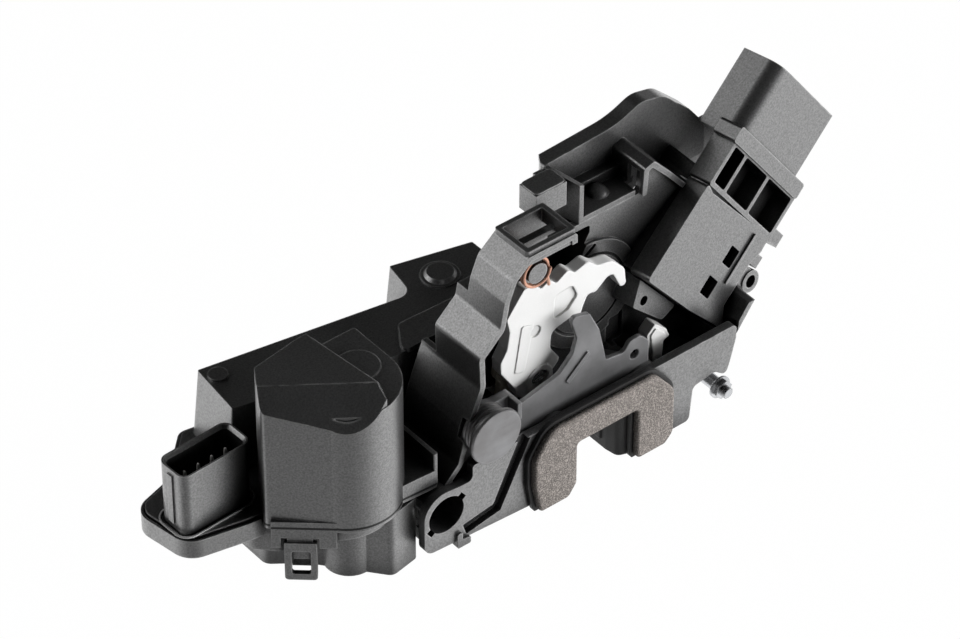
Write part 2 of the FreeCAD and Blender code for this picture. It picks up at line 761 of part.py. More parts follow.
def lock_cam():
    """Round-headed blocking paddle clamped on the end of the crank."""
    tip_x, tip_y = polar(cam_reach, crank_angle)
    x = sector_x + tip_x
    front = sector_y + tip_y - cam_t / 2
    head = rod_y(x, crank_high + 10.0, 5.0, front, front + cam_t)
    stem = slab_y([(x - 4.0, crank_low - 1.0, 1), (x + 4.0, crank_low - 1.0, 1),
                   (x + 3.0, crank_high + 8, 0), (x - 3.0, crank_high + 8, 0)], front, front + cam_t)
    crank = brick(0, crank_length, -crank_half, crank_half, crank_low, crank_high)
    crank.rotate(Vec(0, 0, 0), Vec(0, 0, 1), crank_angle)
    return join([head, stem]).cut(at(crank, sector_x, sector_y))


def gear_axles():
    """Steel axles: one stands in the base, one hangs from the cover, one is held in both."""
    high = box_top - wall - 0.4
    wheel_x, wheel_y = wheel_place()
    idler_x, idler_y = idler_place()
    return [rod_z(idler_x, idler_y, axle_r, axle_foot, gear_top + gear_t + 0.6),
            rod_z(wheel_x, wheel_y, axle_r, gear_top + clearance, high),
            rod_z(sector_x, sector_y, axle_r, axle_foot, high)]


# Four-way connector

def connector_shroud():
    shell = slab_z(plug_corners(0), seam_z, plug_top)
    room = slab_z(plug_corners(-plug_wall), plug_floor, plug_top + 1)
    lead_in = Part.makeLoft([outline(plug_corners(-plug_wall), lambda a, b: Vec(a, b, plug_top - 1.2)),
                             outline(plug_corners(-0.5), lambda a, b: Vec(a, b, plug_top + 0.1))],
                            True, True)
    nubs = [brick(x - 1.6, x + 1.6, plug_wide / 2 - 0.4, plug_wide / 2 + 0.9, plug_top - 7, plug_top - 4)
            for x in (-plug_long / 4, plug_long / 4)]
    keys = [brick(side * plug_long / 2 - 0.5, side * plug_long / 2 + 0.5, -1.2, 1.2, plug_floor, plug_top - 2)
            for side in (-1, 1)]
    shell = join([shell.cut(room).cut(lead_in)] + nubs + keys)
    for x in pin_places():
        shell = shell.cut(brick(x - pin_w / 2, x + pin_w / 2, -0.4, 0.4, seam_z + 0.6, plug_floor + 1))
    return turn_plug(shell)


def pin_places():
    return [pin_pitch * (k - 1.5) for k in range(4)]


def connector_pins():
    """Four flat blades with pointed tips, moulded into the connector floor."""
    blades = []
    for x in pin_places():
        tip = [(x - pin_w / 2, seam_z + 0.6, 0), (x + pin_w / 2, seam_z + 0.6, 0),
               (x + pin_w / 2, pin_top - 1.2, 0), (x + pin_w / 4, pin_top, 0), (x - pin_w / 4, pin_top, 0),
               (x - pin_w / 2, pin_top - 1.2, 0)]
        blades.append(turn_plug(slab_y(tip, -0.4, 0.4)))
    return blades


def connector_seal():
    """Thin bead of sealant round the foot of the connector."""
    band = slab_z(plug_corners(1.7), seam_z + 2.4, seam_z + 2.9)
    return turn_plug(band.cut(slab_z(plug_corners(1.1), seam_z + 2, seam_z + 4)))


# Latch tray

def rim_pieces():
    """Upright walls of the tray, deep below tier_z and shallow above it."""
    shell = slab_y(floor_outline(), plate_back, floor_back)
    room = slab_y(inset(floor_outline(), tray_wall), plate_back - 1, floor_front)
    deep = shell.cut(room).cut(brick(-70, 120, plate_back - 1, 0, tier_z, 120))
    top = slab_y(floor_outline(), plate_back, tier_back)
    top_room = slab_y(inset(floor_outline(), tray_wall), plate_back - 1, tier_floor)
    top = top.cut(top_room).common(brick(-70, 4.8, plate_back, tier_back, tier_z - 1, 120))
    right = brick(4.6, 120, plate_back - 1, floor_front, 33.2, 120)
    high_floor = slab_y(floor_outline(), floor_front, floor_back)
    high_floor = high_floor.common(brick(4.8, 120, floor_front, floor_back, tier_z - 1, 120))
    return join([deep.cut(right), top, high_floor])


def tray_skirt():
    """Wall and ribs behind the floor that reach back to the actuator."""
    ring = slab_y(floor_outline(), floor_back - 0.5, tray_back)
    ring = ring.cut(slab_y(inset(floor_outline(), tray_wall), floor_back - 1, tray_back + 1))
    ring = ring.common(brick(-70, 120, floor_back - 0.5, tray_back, 0, skirt_top))
    field = slab_y(inset(floor_outline(), 0.6), floor_back - 0.5, tray_back)
    ribs = [brick(x, x + rib_t, floor_back - 0.5, tray_back, 0, skirt_top) for x in (-38.0, 8.0, 30.0, 46.0)]
    cross = brick(8.0, 100, floor_back - 0.5, tray_back, 44.0, 44.0 + rib_t)
    return join([ring] + [rib.common(field) for rib in ribs + [cross]])


def clip_loop():
    """Upright socket frame at the top left corner."""
    return slab_z(loop_corners(), loop_low, loop_top)


def loop_corners():
    return [(-14.6, plate_back + 0.6, 1), (4.4, plate_back + 0.6, 1), (4.4, tier_floor + loop_wall, 1),
            (-14.6, tier_floor + loop_wall, 1)]


def loop_bar():
    """Thin bar across the socket frame."""
    return brick(-14.0, 4.0, plate_back + 8.0, plate_back + 10.6, loop_low + 0.2, loop_low + 1.8)


def seat_block():
    """Raised ring on the floor that the leaning side panel rests on."""
    ring = slab_z(inset(panel_corners(), seat_step), panel_depth, panel_depth + 18)
    ring = ring.cut(slab_z(inset(panel_corners(), seat_step + tray_wall), panel_depth - 1, panel_depth + 20))
    return to_side(ring).common(brick(0, 140, -60, floor_back, 0, 140))


def panel_foot():
    """Low step below the panel's end, with a blind round hole."""
    step = slab_z([(-8.6, 8.0, 1), (0.6, 3.0, 0.5), (0.6, 27.0, 0.5), (-5.6, 25.0, 2)], foot_depth, foot_depth + 12)
    step = step.cut(Part.makeCylinder(1.7, 3.0, Vec(-4.6, 11.0, foot_depth - 1), Vec(0, 0, 1)))
    step = step.cut(slab_z(inset(panel_corners(), -clearance), 0, panel_depth + clearance))
    return to_side(step).common(brick(0, 140, -60, floor_back, 0, 140))


def latch_housing():
    """Glass-filled tray that carries the claw, the levers and the side group."""
    body = join([rim_pieces(), tray_skirt(), clip_loop()])
    socket = slab_z(inset(loop_corners(), loop_wall), 88.0, loop_top + 1)
    beside_spring = brick(1.8, 6.0, plate_back - 1, tier_floor, tier_z - 3, loop_low)
    body = join([body.cut(socket).cut(beside_spring), loop_bar()])
    mouth = brick(-10, mouth_wall + tray_wall + 0.2, plate_back - 1, floor_front, 21.5, 30)
    sweep = brick(-12, mouth_wall - 0.1, plate_back - 1, floor_front, 0, 30)
    frame = brick(-16.6, 36.6, plate_back - 1, frame_back + 0.3, 0, 33)
    well = slab_y(well_outline(), floor_front - 1, floor_back + 1)
    body = body.cut(mouth).cut(sweep).cut(frame).cut(well)
    cup = slab_y(inset(well_outline(), -1.6), floor_back - 1, deep_floor_back)
    cup = cup.cut(slab_y(well_outline(), floor_back - 2, deep_floor_back - 1.8))
    raised = rod_y(24.0, 53.0, 19.7, floor_front - 1.2, floor_front + 0.5)
    groove = tube_y(24.0, 53.0, 15.2, 14.2, floor_front - 2, floor_front - 0.5)
    raised = raised.cut(groove).cut(slab_y(well_outline(), floor_front - 3, floor_front + 2))
    bosses = [rod_y(x, z, radius, front, floor_front + 0.5) for x, z, radius, front in tray_bosses()]
    screw_posts = [rod_y(x, z, 3.4, floor_back - 0.5, tray_back) for x, z in tray_screw_places()]
    body = join([body, cup, raised, seat_block(), panel_foot()] + bosses + screw_posts)
    side_room = brick(panel_long - seat_step - tray_wall, 100, -4, 60, -10, 40)
    panel_room = slab_z(inset(panel_corners(), -2 * clearance), -10, panel_depth)
    body = body.cut(to_side(side_room)).cut(to_side(panel_room))
    for x, z, radius in tray_holes():
        body = body.cut(rod_y(x, z, radius, plate_front, tray_back + 1))
    for x, z in tray_screw_places():
        body = body.cut(rod_y(x, z, tray_screw_r, floor_front - 2, tray_back + 1))
    slot = slab_y([(20.6, 67.8, 0.6), (21.4, 66.6, 0.6), (27.5, 70.9, 0.6), (26.7, 72.1, 0.6)],
                  floor_front - 3, floor_front + 1)
    recess = slab_y([(33.0, 27.0, 1), (39.6, 27.0, 1), (39.6, 38.0, 1), (33.0, 38.0, 1)],
                    floor_front - 3, floor_front + 1.4)
    coil_room = rod_y(disc_x, disc_z, coil_r + coil_wire + 0.5, plate_front, coil_back + 0.6)
    barrel_room = rod_y(hole_x, hole_z, hole_r + hole_wall + clearance, plate_front,
                        plate_front + hole_barrel + clearance)
    body = body.cut(slot).cut(recess).cut(coil_room).cut(barrel_room)
    body = body.cut(crank_window(floor_front - 1, floor_back + 0.1))
    return body.cut(crank_window(floor_back, tray_back + 0.5))


def tray_bosses():
    """x, z, radius and front of each pin or screw boss on the floor."""
    return [(claw_x, claw_z, 5.0, claw_back + 1.0), (pawl_x, pawl_z, 3.8, claw_back + 1.0),
            (screw_x, screw_z, 3.2, lever_back + 0.1), (disc_x, disc_z, 5.0, handle_back + 0.4),
            (lock_x, lock_z, 3.0, lever_back + 0.1), (spring_x, spring_z, 3.6, spring_front + 0.4)]


def tray_holes():
    return [(claw_x, claw_z, pin_r), (pawl_x, pawl_z, pawl_pin_r), (screw_x, screw_z, screw_shank_r),
            (disc_x, disc_z, disc_pin_r), (lock_x, lock_z, lock_pin_r)]


def tray_screw():
    head = rod_y(0, 0, 3.6, floor_front - 2.2, floor_front)
    cross = join([brick(-0.5, 0.5, -40, floor_front - 1.2, -2.2, 2.2),
                  brick(-2.2, 2.2, -40, floor_front - 1.2, -0.5, 0.5)])
    return join([head, rod_y(0, 0, tray_screw_r, floor_front, tray_screw_end)]).cut(cross)


# Latch face: plate, gasket and steel work

def latch_face_plate():
    """Face plate with the cable boss, its notched bore, and a pressed groove."""
    plate = slab_y(plate_outline(), plate_front, plate_back)
    barrel = rod_y(hole_x, hole_z, hole_r + hole_wall, plate_back - 0.5, plate_front + hole_barrel)
    barrel = barrel.cut(brick(-70, plate_left + 2.0, plate_front, 0, 0, 40))
    body = plate.fuse(barrel)
    body = body.cut(rod_y(hole_x, hole_z, hole_r, plate_front - 1, 0))
    for angle in (35.0, 215.0):
        notch = brick(0, notch_r, plate_front - 1, 0, -notch_w / 2, notch_w / 2)
        notch.rotate(Vec(0, 0, 0), Vec(0, 1, 0), -angle)
        body = body.cut(at(notch, hole_x, 0, hole_z))
    band = [(-20.1, 32.5, 0), (-30.4, 10.8, 1), (-42.5, 9.0, 0.5), (-41.0, 4.5, 0.5), (-27.5, 6.7, 1),
            (-15.7, 30.1, 0)]
    body = body.cut(slab_y(band, plate_front - 1, plate_back - 0.7))
    hook = slab_y([(-45.2, 1.2, 0.6), (-40.0, 1.2, 0.6), (-40.0, 3.8, 0.6), (-43.2, 4.2, 0.6),
                   (-43.2, 7.0, 0.6), (-45.2, 7.0, 0.6)], plate_front - 1.0, plate_back - 0.5)
    body = join([body, hook])
    stud_hole = rod_y(stud_x, stud_z, stud_r, plate_front - 1, plate_back + 1)
    return body.cut(stud_hole)


def gasket_backing():
    """Thin black carrier of the foam, a little larger all round."""
    sheet = slab_y(inset(foam_outline(), -backing_margin), plate_front - backing_t, plate_front)
    return sheet.common(brick(-40, 60, -60, 0, 0, 60))


def face_gasket():
    return slab_y(foam_outline(), foam_front, foam_front + foam_t)


def mouth_liner():
    """Guide on the right wall of the striker mouth, flared where the striker enters."""
    inner = mouth_wall - liner_t
    profile = [(mouth_right - 0.2, plate_front, 0.3), (inner + 0.8, plate_front + 1.2, 2.5),
               (inner, plate_front + 6.0, 3), (inner, floor_front - 2.0, 1), (mouth_wall, floor_front - 2.0, 0.3),
               (mouth_wall, plate_back + 0.5, 0.5), (mouth_right - 0.2, plate_back - 0.4, 0.3)]
    wall_piece = slab_z(profile, plate_low + 0.2, mouth_top - 2.2)
    pad = slab_z([(inner - 0.6, plate_front + 8.0, 0.5), (inner - 0.6, floor_front - 4.5, 0.5),
                  (inner + 0.4, floor_front - 4.5, 0.2), (inner + 0.4, plate_front + 8.0, 0.2)], 4.0, 19.5)
    return join([wall_piece, pad])


def mouth_frame():
    """Steel reinforcement round the striker mouth, behind the face plate."""
    outer = [(-16.0, 2.0, 2), (-16.0, 25.6, 2), (36.0, 25.6, 2), (36.0, 2.0, 2),
             (mouth_right + 0.4, 2.0, 0.5), (mouth_right + 0.4, mouth_top - 0.4, 1),
             (mouth_left, mouth_top - 0.4, 2), (mouth_left, 2.0, 1)]
    frame = slab_y(outer, plate_back, frame_back)
    lobes = [rod_y(x, z, 6.4, plate_back, frame_back) for x, z in ((claw_x, claw_z), (pawl_x, pawl_z))]
    frame = join([frame] + lobes)
    frame = frame.cut(brick(mouth_left, mouth_right + 0.4, -60, 0, 0, mouth_top - 0.4))
    for x, z, radius in ((claw_x, claw_z, pin_r), (pawl_x, pawl_z, pawl_pin_r)):
        frame = frame.cut(rod_y(x, z, radius, plate_back - 1, frame_back + 1))
    return frame


def steel_bracket():
    """Pressed steel bracket: two arms, a stiffening bead and an eye at the right."""
    body = slab_y(strap_outline(), frame_back, strap_back)
    for x, z, radius in ((claw_x, claw_z, pin_r + 0.1), (pawl_x, pawl_z, pawl_pin_r + 0.1)):
        body = body.cut(rod_y(x, z, radius, frame_back - 1, strap_back + 1))
    body = body.cut(rod_y(eye_x, eye_z, eye_r, frame_back - 1, strap_back + 1))
    bead = [(1.6, 40.6, 0.6), (2.8, 38.8, 0.6), (11.4, 46.6, 0.6), (10.4, 48.2, 0.6)]
    return join([body, slab_y(bead, frame_back - 0.6, frame_back + 0.2)])


# Claw and pawl

def claw_corners():
    """Closed claw about its pivot: rim, striker slot, lower jaw and round back."""
    sx = striker_x - claw_x
    sz = striker_z - claw_z
    upper = math.degrees(math.asin((sz + striker_r) / claw_upper_r))
    lower = math.degrees(math.asin((sz - striker_r) / claw_lower_r))
    corners = []
    corners += arc_corners(claw_upper_r, 40.0, 64.0)
    corners += arc_corners(claw_upper_r, upper + 3.0, 40.0)
    corners += [polar(claw_upper_r, upper) + (0.8,)]
    corners += [(sx - striker_r, sz + striker_r, striker_r), (sx - striker_r, sz - striker_r, striker_r)]
    corners += [polar(claw_lower_r, lower) + (0.8,)]
    corners += [polar(claw_lower_r, -46.0) + (3.0,), polar(claw_heel_r, -66.0) + (4.0,)]
    corners += [polar(claw_hub_r * 1.45, -128.0) + (claw_hub_r,), polar(claw_hub_r * 1.45, 142.0) + (claw_hub_r,)]
    corners += [polar(claw_upper_r, 67.0) + (1.5,)]
    return corners


def claw_body(corners, front, back):
    placed = turned(corners, -claw_turn, claw_x, claw_z)
    notch_x, notch_z = polar(claw_upper_r + 0.6, 24.0 - claw_turn)
    notch = rod_y(claw_x + notch_x, claw_z + notch_z, 2.6, front - 1, back + 1)
    return slab_y(placed, front, back).cut(notch)


def claw():
    """Steel rotary claw, drawn at rest with the mouth open."""
    body = claw_body(inset(claw_corners(), skin_t), claw_front, claw_back)
    hub = rod_y(claw_x, claw_z, claw_hub_r - 2.5, claw_front, claw_back + 0.4)
    return join([body, hub]).cut(rod_y(claw_x, claw_z, pin_r + running, claw_front - 1, claw_back + 1))


def claw_overmould():
    """Plastic skin on the edges of the claw that quietens it against the striker."""
    front = claw_front + 0.5
    back = claw_back - 0.5
    return claw_body(claw_corners(), front, back).cut(
        claw_body(inset(claw_corners(), skin_t), front - 1, back + 1))


def claw_pin():
    """Shouldered pin: head behind the face plate, shank through to the tray floor."""
    return rod_y(claw_x, claw_z, pin_r, plate_back, floor_back - 0.5)


def pawl_corners():
    return [(-17.6, 11.3, 0.4), (-16.0, 8.6, 0.6), (-5.6, -1.4, 2), (-4.0, -4.4, 2), (3.0, -4.8, 2),
            (8.6, -4.4, 1.4), (8.6, -0.8, 1.4), (4.4, 3.6, 3), (-2.6, 8.0, 4), (-13.2, 15.4, 1.2),
            (-16.0, 15.2, 0.8)]


def pawl():
    """Locking pawl: nose against the claw rim, hub, and a tail for the release lever."""
    body = slab_y(turned(pawl_corners(), 0.0, pawl_x, pawl_z), claw_front, claw_back)
    hub = rod_y(pawl_x, pawl_z, pawl_hub_r, claw_front, claw_back + 0.4)
    bore = rod_y(pawl_x, pawl_z, pawl_pin_r + running, claw_front - 1, claw_back + 1)
    return join([body, hub]).cut(bore)


def pawl_pin():
    return rod_y(pawl_x, pawl_z, pawl_pin_r, plate_back, floor_back - 0.5)


def coil_y(x, z, radius, wire_r, front, back, turns):
    """Coil about Y between two levels."""
    pitch = (back - front - 2 * wire_r) / turns
    coil = coil_z(radius, pitch, 2 * turns, wire_r)
    coil.rotate(Vec(0, 0, 0), Vec(1, 0, 0), -90)
    coil.translate(Vec(x, front + wire_r, z))
    return coil


def claw_spring():
    """Torsion spring round the claw boss behind the claw."""
    return coil_y(claw_x, claw_z, 6.4, 0.6, claw_back + 1.2, lever_back, 2)


def pawl_spring():
    return coil_y(pawl_x, pawl_z, 4.7, 0.45, claw_back + 0.7, claw_back + 3.7, 2)


# Levers

def release_lever():
    """Moulded lever with a toothed back; the nose hooks over the right-hand rod."""
    body = slab_y(lever_outline(), lever_front, lever_back)
    relief = slab_y([(3.0, 59.0, 1.5), (9.0, 60.4, 1.5), (12.6, 64.4, 1.5), (10.6, 69.4, 2), (3.6, 68.6, 2)],
                    lever_front - 1, lever_front + 0.8)
    boss = rod_y(screw_x, screw_z, 5.2, lever_front - 0.3, lever_back)
    ridge = slab_y([(-12.4, 46.0, 1), (-8.6, 44.8, 1), (-5.0, 62.0, 1), (-9.6, 63.6, 1)],
                   lever_front - 0.3, lever_front + 0.4)
    dimple = rod_y(-4.2, 58.6, 2.2, lever_front - 2, lever_front + 0.6)
    head_room = rod_y(screw_x, screw_z, screw_r + 0.2, lever_front - 1, lever_front + screw_head_t)
    whole = join([body, boss, ridge]).cut(relief).cut(dimple).cut(head_room)
    return whole.cut(rod_y(screw_x, screw_z, screw_shank_r + running, lever_front - 3, lever_back + 1))


def release_screw():
    """Dome-headed screw that is the release lever's pivot, its head sunk in the lever."""
    front = claw_back + 0.2
    back = lever_front + screw_head_t - 0.1
    dome = Part.makeSphere(5.0, Vec(screw_x, front + 5.0, screw_z))
    dome = dome.common(rod_y(screw_x, screw_z, screw_r, front - 1, back))
    cross = join([brick(screw_x - 0.4, screw_x + 0.4, -60, front + 0.9, screw_z - 1.6, screw_z + 1.6),
                  brick(screw_x - 1.6, screw_x + 1.6, -60, front + 0.9, screw_z - 0.4, screw_z + 0.4)])
    shank = rod_y(screw_x, screw_z, screw_shank_r, back - 0.5, floor_back)
    return join([dome, shank]).cut(cross)


def lock_lever():
    """Small white lever with a T-shaped head at the right of the bracket."""
    corners = [(42.0, 15.6, 2), (47.8, 15.6, 2), (48.4, 26.6, 0.8), (50.9, 27.4, 0.6), (49.4, 31.0, 1),
               (44.8, 35.3, 0.8), (41.6, 32.2, 1), (42.4, 24.0, 4)]
    body = slab_y(corners, lever_front, lever_back)
    pad = slab_y(inset(corners, 1.2), lever_front - 0.5, lever_front + 0.5)
    return join([body, pad]).cut(rod_y(lock_x, lock_z, lock_pin_r + running, lever_front - 2, lever_back + 1))


def lock_lever_pin():
    head = rod_y(lock_x, lock_z, 2.4, lever_front - 1.4, lever_front - 0.6)
    return join([head, rod_y(lock_x, lock_z, lock_pin_r, lever_front - 0.6, floor_back)])


def handle_disc():
    """Wide flat disc and its pin, the pivot of the handle lever."""
    disc = rod_y(disc_x, disc_z, disc_r, disc_front, disc_front + disc_t)
    rim = [edge for edge in disc.Edges if abs(edge.BoundBox.YMin - disc_front) < 1e-3 and edge.Closed]
    disc = disc.makeChamfer(0.4, rim)
    return join([disc, rod_y(disc_x, disc_z, disc_pin_r, disc_front + disc_t, floor_back)])


def handle_spring():
    return coil_y(disc_x, disc_z, coil_r, coil_wire, disc_front + disc_t + 0.2, coil_back, coil_turns)


def handle_lever():
    """Steel lever behind the spring: one arm to the cable, one bent tab to the lever."""
    corners = [(-9.4, -11.4, 2.4), (-5.0, -13.6, 2.4), (1.0, -5.6, 3), (7.4, -3.6, 2), (12.8, -2.4, 1),
               (12.8, 4.6, 1), (5.6, 4.6, 3), (0.6, 6.4, 4), (-5.6, 3.4, 4), (-5.6, -3.0, 4)]
    plate = slab_y(turned(corners, 0.0, disc_x, disc_z), handle_front, handle_back)
    tab = brick(disc_x + 11.2, disc_x + 12.8, handle_front - 5.0, handle_back, disc_z - 2.2, disc_z + 4.4)
    hole = rod_y(disc_x - 6.6, disc_z - 10.6, 1.3, handle_front - 1, handle_back + 1)
    bore = rod_y(disc_x, disc_z, disc_pin_r + running, handle_front - 6, handle_back + 1)
    return join([plate, tab]).cut(bore).cut(hole)


def copper_spring():
    """Open coil on its post, with a straight leg that lies along the release lever."""
    back = spring_front + 3.4
    coil = coil_y(spring_x, spring_z, copper_r, copper_wire, spring_front, back, 2)
    start = Vec(spring_x + copper_r, back - copper_wire, spring_z + 0.1)
    leg = Part.makeCylinder(0.98 * copper_wire, 9.4, start, Vec(0.16, 0, -1))
    return join([coil, leg])


def fixing_stud():
    """Hexagon head and threaded stud of the lower right fixing."""
    head = []
    for k in range(6):
        head.append(polar(3.4, 60.0 * k + 12) + (0,))
    nut = slab_y(turned(head, 0.0, stud_x, stud_z), plate_front - 2.4, plate_front)
    washer = rod_y(stud_x, stud_z, 4.0, plate_front - 0.7, plate_front)
    shank = rod_y(stud_x, stud_z, stud_r, plate_front, plate_back + 5.0)
    tip = rod_y(stud_x, stud_z, 1.7, plate_front - 4.6, plate_front - 2.4)
    threads = [tube_y(stud_x, stud_z, 2.0, 1.6, plate_front - 4.3 + k * 0.7, plate_front - 3.95 + k * 0.7)
               for k in range(3)]
    return join([nut, washer, shank, tip] + threads)


# Side group

def panel_corners():
    return [(0, 0, 1.5), (panel_long, 0.6, 1), (34.5, 5.1, 0.8), (36.0, 37.0, 1), (36.4, 45.1, 1),
            (31.0, 45.5, 0.6), (25.2, panel_wide, 0.6), (9.9, panel_wide, 0.6), (3.9, 49.5, 1),
            (1.5, 27.8, 2)]


def side_cover():
    """Leaning side panel with clip windows, ring boss, ribbed pockets and collar."""
    panel = slab_z(panel_corners(), 0, panel_depth)
    room = slab_z(inset(panel_corners(), 1.8), 2.0, panel_depth + 1)
    windows = [slab_z([(20.0, 29.5, 0.5), (26.4, 29.5, 0.5), (26.4, 35.0, 0.5), (20.0, 35.0, 0.5)], -1, 3),
               slab_z([(8.0, 27.6, 0.5), (14.5, 27.6, 0.5), (14.5, 33.5, 0.5), (8.0, 33.5, 0.5)], -1, 3)]
    step = slab_z([(15.4, 36.4, 0.4), (34.0, 36.4, 0.4), (34.0, 37.4, 0.4), (15.4, 37.4, 0.4)], -0.8, 0.5)
    body = join([panel.cut(room).cut(windows[0]).cut(windows[1]), step])
    cell_start = panel_long
    cell_end = block_start + 2.0
    cells = slab_z([(cell_start, 1.0, 1), (cell_end, 1.0, 1), (cell_end, 46.0, 1), (cell_start, 46.0, 1)],
                   0, cell_depth)
    for low, high in ((2.6, 9.4), (11.0, 26.0), (27.6, 44.4)):
        cells = cells.cut(slab_z([(cell_start + 1.6, low, 0.8), (cell_end - 1.6, low, 0.8),
                                  (cell_end - 1.6, high, 0.8), (cell_start + 1.6, high, 0.8)],
                                 -1, cell_depth - 1.6))
    collar = slab_z([(block_start + 1.0, -1.0, 1), (block_start + 6.5, -1.0, 1),
                     (block_start + 6.5, 45.6, 1), (block_start + 1.0, 45.6, 1)], -0.8, cell_depth - 0.6)
    collar = collar.cut(slab_x(block_profile(0, block_round), block_start, block_end))
    ring = slab_z([(ring_u - 3.2, panel_wide - 1, 0.5), (ring_u + 3.2, panel_wide - 1, 0.5),
                   (ring_u + 3.2, ring_v, 0.5), (ring_u - 3.2, ring_v, 0.5)], 0.5, ring_len - 2)
    ring = ring.fuse(Part.makeCylinder(ring_r, ring_len, Vec(ring_u, ring_v, 0), Vec(0, 0, 1)))
    lugs = [Part.makeBox(4.6, 8.0, 5.0, Vec(35.4, 44.4, 0.6)), Part.makeBox(4.2, 6.4, 4.0, Vec(26.0, 43.0, 1.0))]
    whole = join([body, cells, collar, ring] + lugs)
    whole = whole.cut(Part.makeCylinder(ring_bore_r, ring_len + 4, Vec(ring_u, ring_v, -2), Vec(0, 0, 1)))
    return to_side(whole)


def block_profile(depth, radius):
    """Cross-section of the connector body, rounded where its front meets the left side."""
    return [(depth, depth, radius), (block_wide - depth, depth, 1.0),
            (block_wide - depth, block_deep - depth, 1.0), (depth, block_deep - depth, 1.0)]


def slab_x(corners, start, end):
    face = Part.Face(outline(corners, lambda a, b: Vec(start, a, b)))
    return face.extrude(Vec(end - start, 0, 0))


def main_connector():
    """Large multi-way connector body, open at its far end."""
    body = slab_x(block_profile(0, block_round), connector_start, block_end)
    low = connector_start + socket_floor
    room = slab_x(block_profile(block_wall, block_round - block_wall), low, block_end + 1)
    key = Part.makeBox(block_end - low, 3.0, 1.6, Vec(low, block_wide / 2 - 1.5, block_deep - block_wall - 1.2))
    shell = join([body.cut(room), key])
    for u, v in terminal_places():
        shell = shell.cut(Part.makeBox(block_end - low, 1.6, 0.8, Vec(low - terminal_root, u - 0.8, v - 0.4)))
    return to_side(shell)


def terminal_places():
    return [(block_wide / 2 + (k - 3.5) * 4.0, block_deep / 2 + row * 2.4 - 0.4) for k in range(8) for row in (-1, 1)]


def main_terminals():
    """Two rows of flat terminals in the large connector."""
    start = connector_start + socket_floor - terminal_root
    return [to_side(Part.makeBox(13.0, 1.6, 0.8, Vec(start, u - 0.8, v - 0.4))) for u, v in terminal_places()]


# Upper hood

def upper_hood():
    """Curved splash hood with its end wall, shelf and the S-shaped stiffening wall."""
    outer = [(17.8, 81.5, 1), (17.8, 97.6, 1.5), (47.0, 99.2, 30), (57.0, 103.4, 8), (66.0, 101.4, 8),
             (77.0, 91.0, 14), (84.0, 81.6, 4), (84.0, 70.0, 2), (48.0, 70.0, 2), (48.0, 81.5, 1)]
    shell = slab_y(outer, hood_front, hood_back)
    shell = shell.cut(slab_y(inset(outer, hood_wall), hood_front + hood_wall, hood_back + 1))
    shell = shell.cut(slab_z([(17.0, hood_front, 0), (21.0, hood_back + 1, 0), (10, hood_back + 1, 0), (10, hood_front, 0)],
                             60, 110))
    end = slab_z([(17.8, hood_front + 1, 0.2), (21.2, floor_front, 0.3), (23.2, floor_front, 0.3),
                  (19.9, hood_front + 1, 0.2)], shelf_low, 97.0)
    end = end.cut(slab_y([(10, 97.3, 0), (19.0, 97.3, 0), (24.0, 95.6, 0), (30, 95.6, 0), (30, 110, 0), (10, 110, 0)],
                         -40, 10))
    shelf = slab_z([(18.4, hood_front + 1, 0.3), (21.4, floor_front, 0.5), (47.6, floor_front, 1),
                    (47.6, hood_front + 1, 0.3)], shelf_low, shelf_z)
    bump = Part.makeSphere(3.6, Vec(34.0, -15.4, shelf_z - 0.8))
    bump = bump.common(brick(20, 50, -30, 0, shelf_low, 100))
    ridge = brick(21.0, 47.6, -12.4, hood_front + 1, shelf_low, shelf_z + 3.4)
    path = [(45.0, 81.5, 0.5), (45.6, 91.9, 1.2), (49.7, 93.2, 1.5), (56.0, 86.2, 1.0), (63.3, 77.3, 2),
            (65.6, 77.2, 2), (69.2, 80.9, 1.0), (73.2, 76.1, 0.5)]
    back_path = [(a + dx, b + dz, 0.6 * r) for (a, b, r), (dx, dz) in zip(path, (
        (1.8, 0), (1.8, -1.6), (-0.9, -2.0), (-1.4, -1.2), (-0.8, -1.8), (1.0, -1.8), (0.0, -2.4), (-1.4, -1.2)))]
    wave = slab_y(path + list(reversed(back_path)), floor_front - 2.0, hood_front + 1)
    box = brick(4.0, 16.0, -22.0, -14.0, 92.0, 101.0).cut(brick(5.6, 14.4, -20.4, -10.0, 93.6, 102.0))
    bridge = brick(14.6, 20.0, -14.4, hood_front + 1, 86.0, 96.0)
    whole = join([shell, end, shelf, bump, ridge, wave, box, bridge])
    floor_room = slab_y(inset(floor_outline(), -clearance), floor_front - clearance, floor_back + clearance)
    cells_room = brick(panel_long - clearance, 100, 1.0 - clearance, 60, -10, cell_depth + clearance)
    panel_room = slab_z(inset(panel_corners(), -clearance), -10, panel_depth + clearance)
    seat_room = slab_z(inset(panel_corners(), seat_step - clearance), panel_depth, panel_depth + 20)
    for room in (to_side(cells_room), to_side(panel_room), to_side(seat_room)):
        whole = whole.cut(room)
    front_of_shelf = brick(47.8, 120, -40, hood_front + 1, 60, 120)
    whole = whole.cut(brick(43.8, 47.9, floor_front - clearance, floor_back + tray_wall + 1, 60, 90))
    return whole.cut(floor_room.common(front_of_shelf))


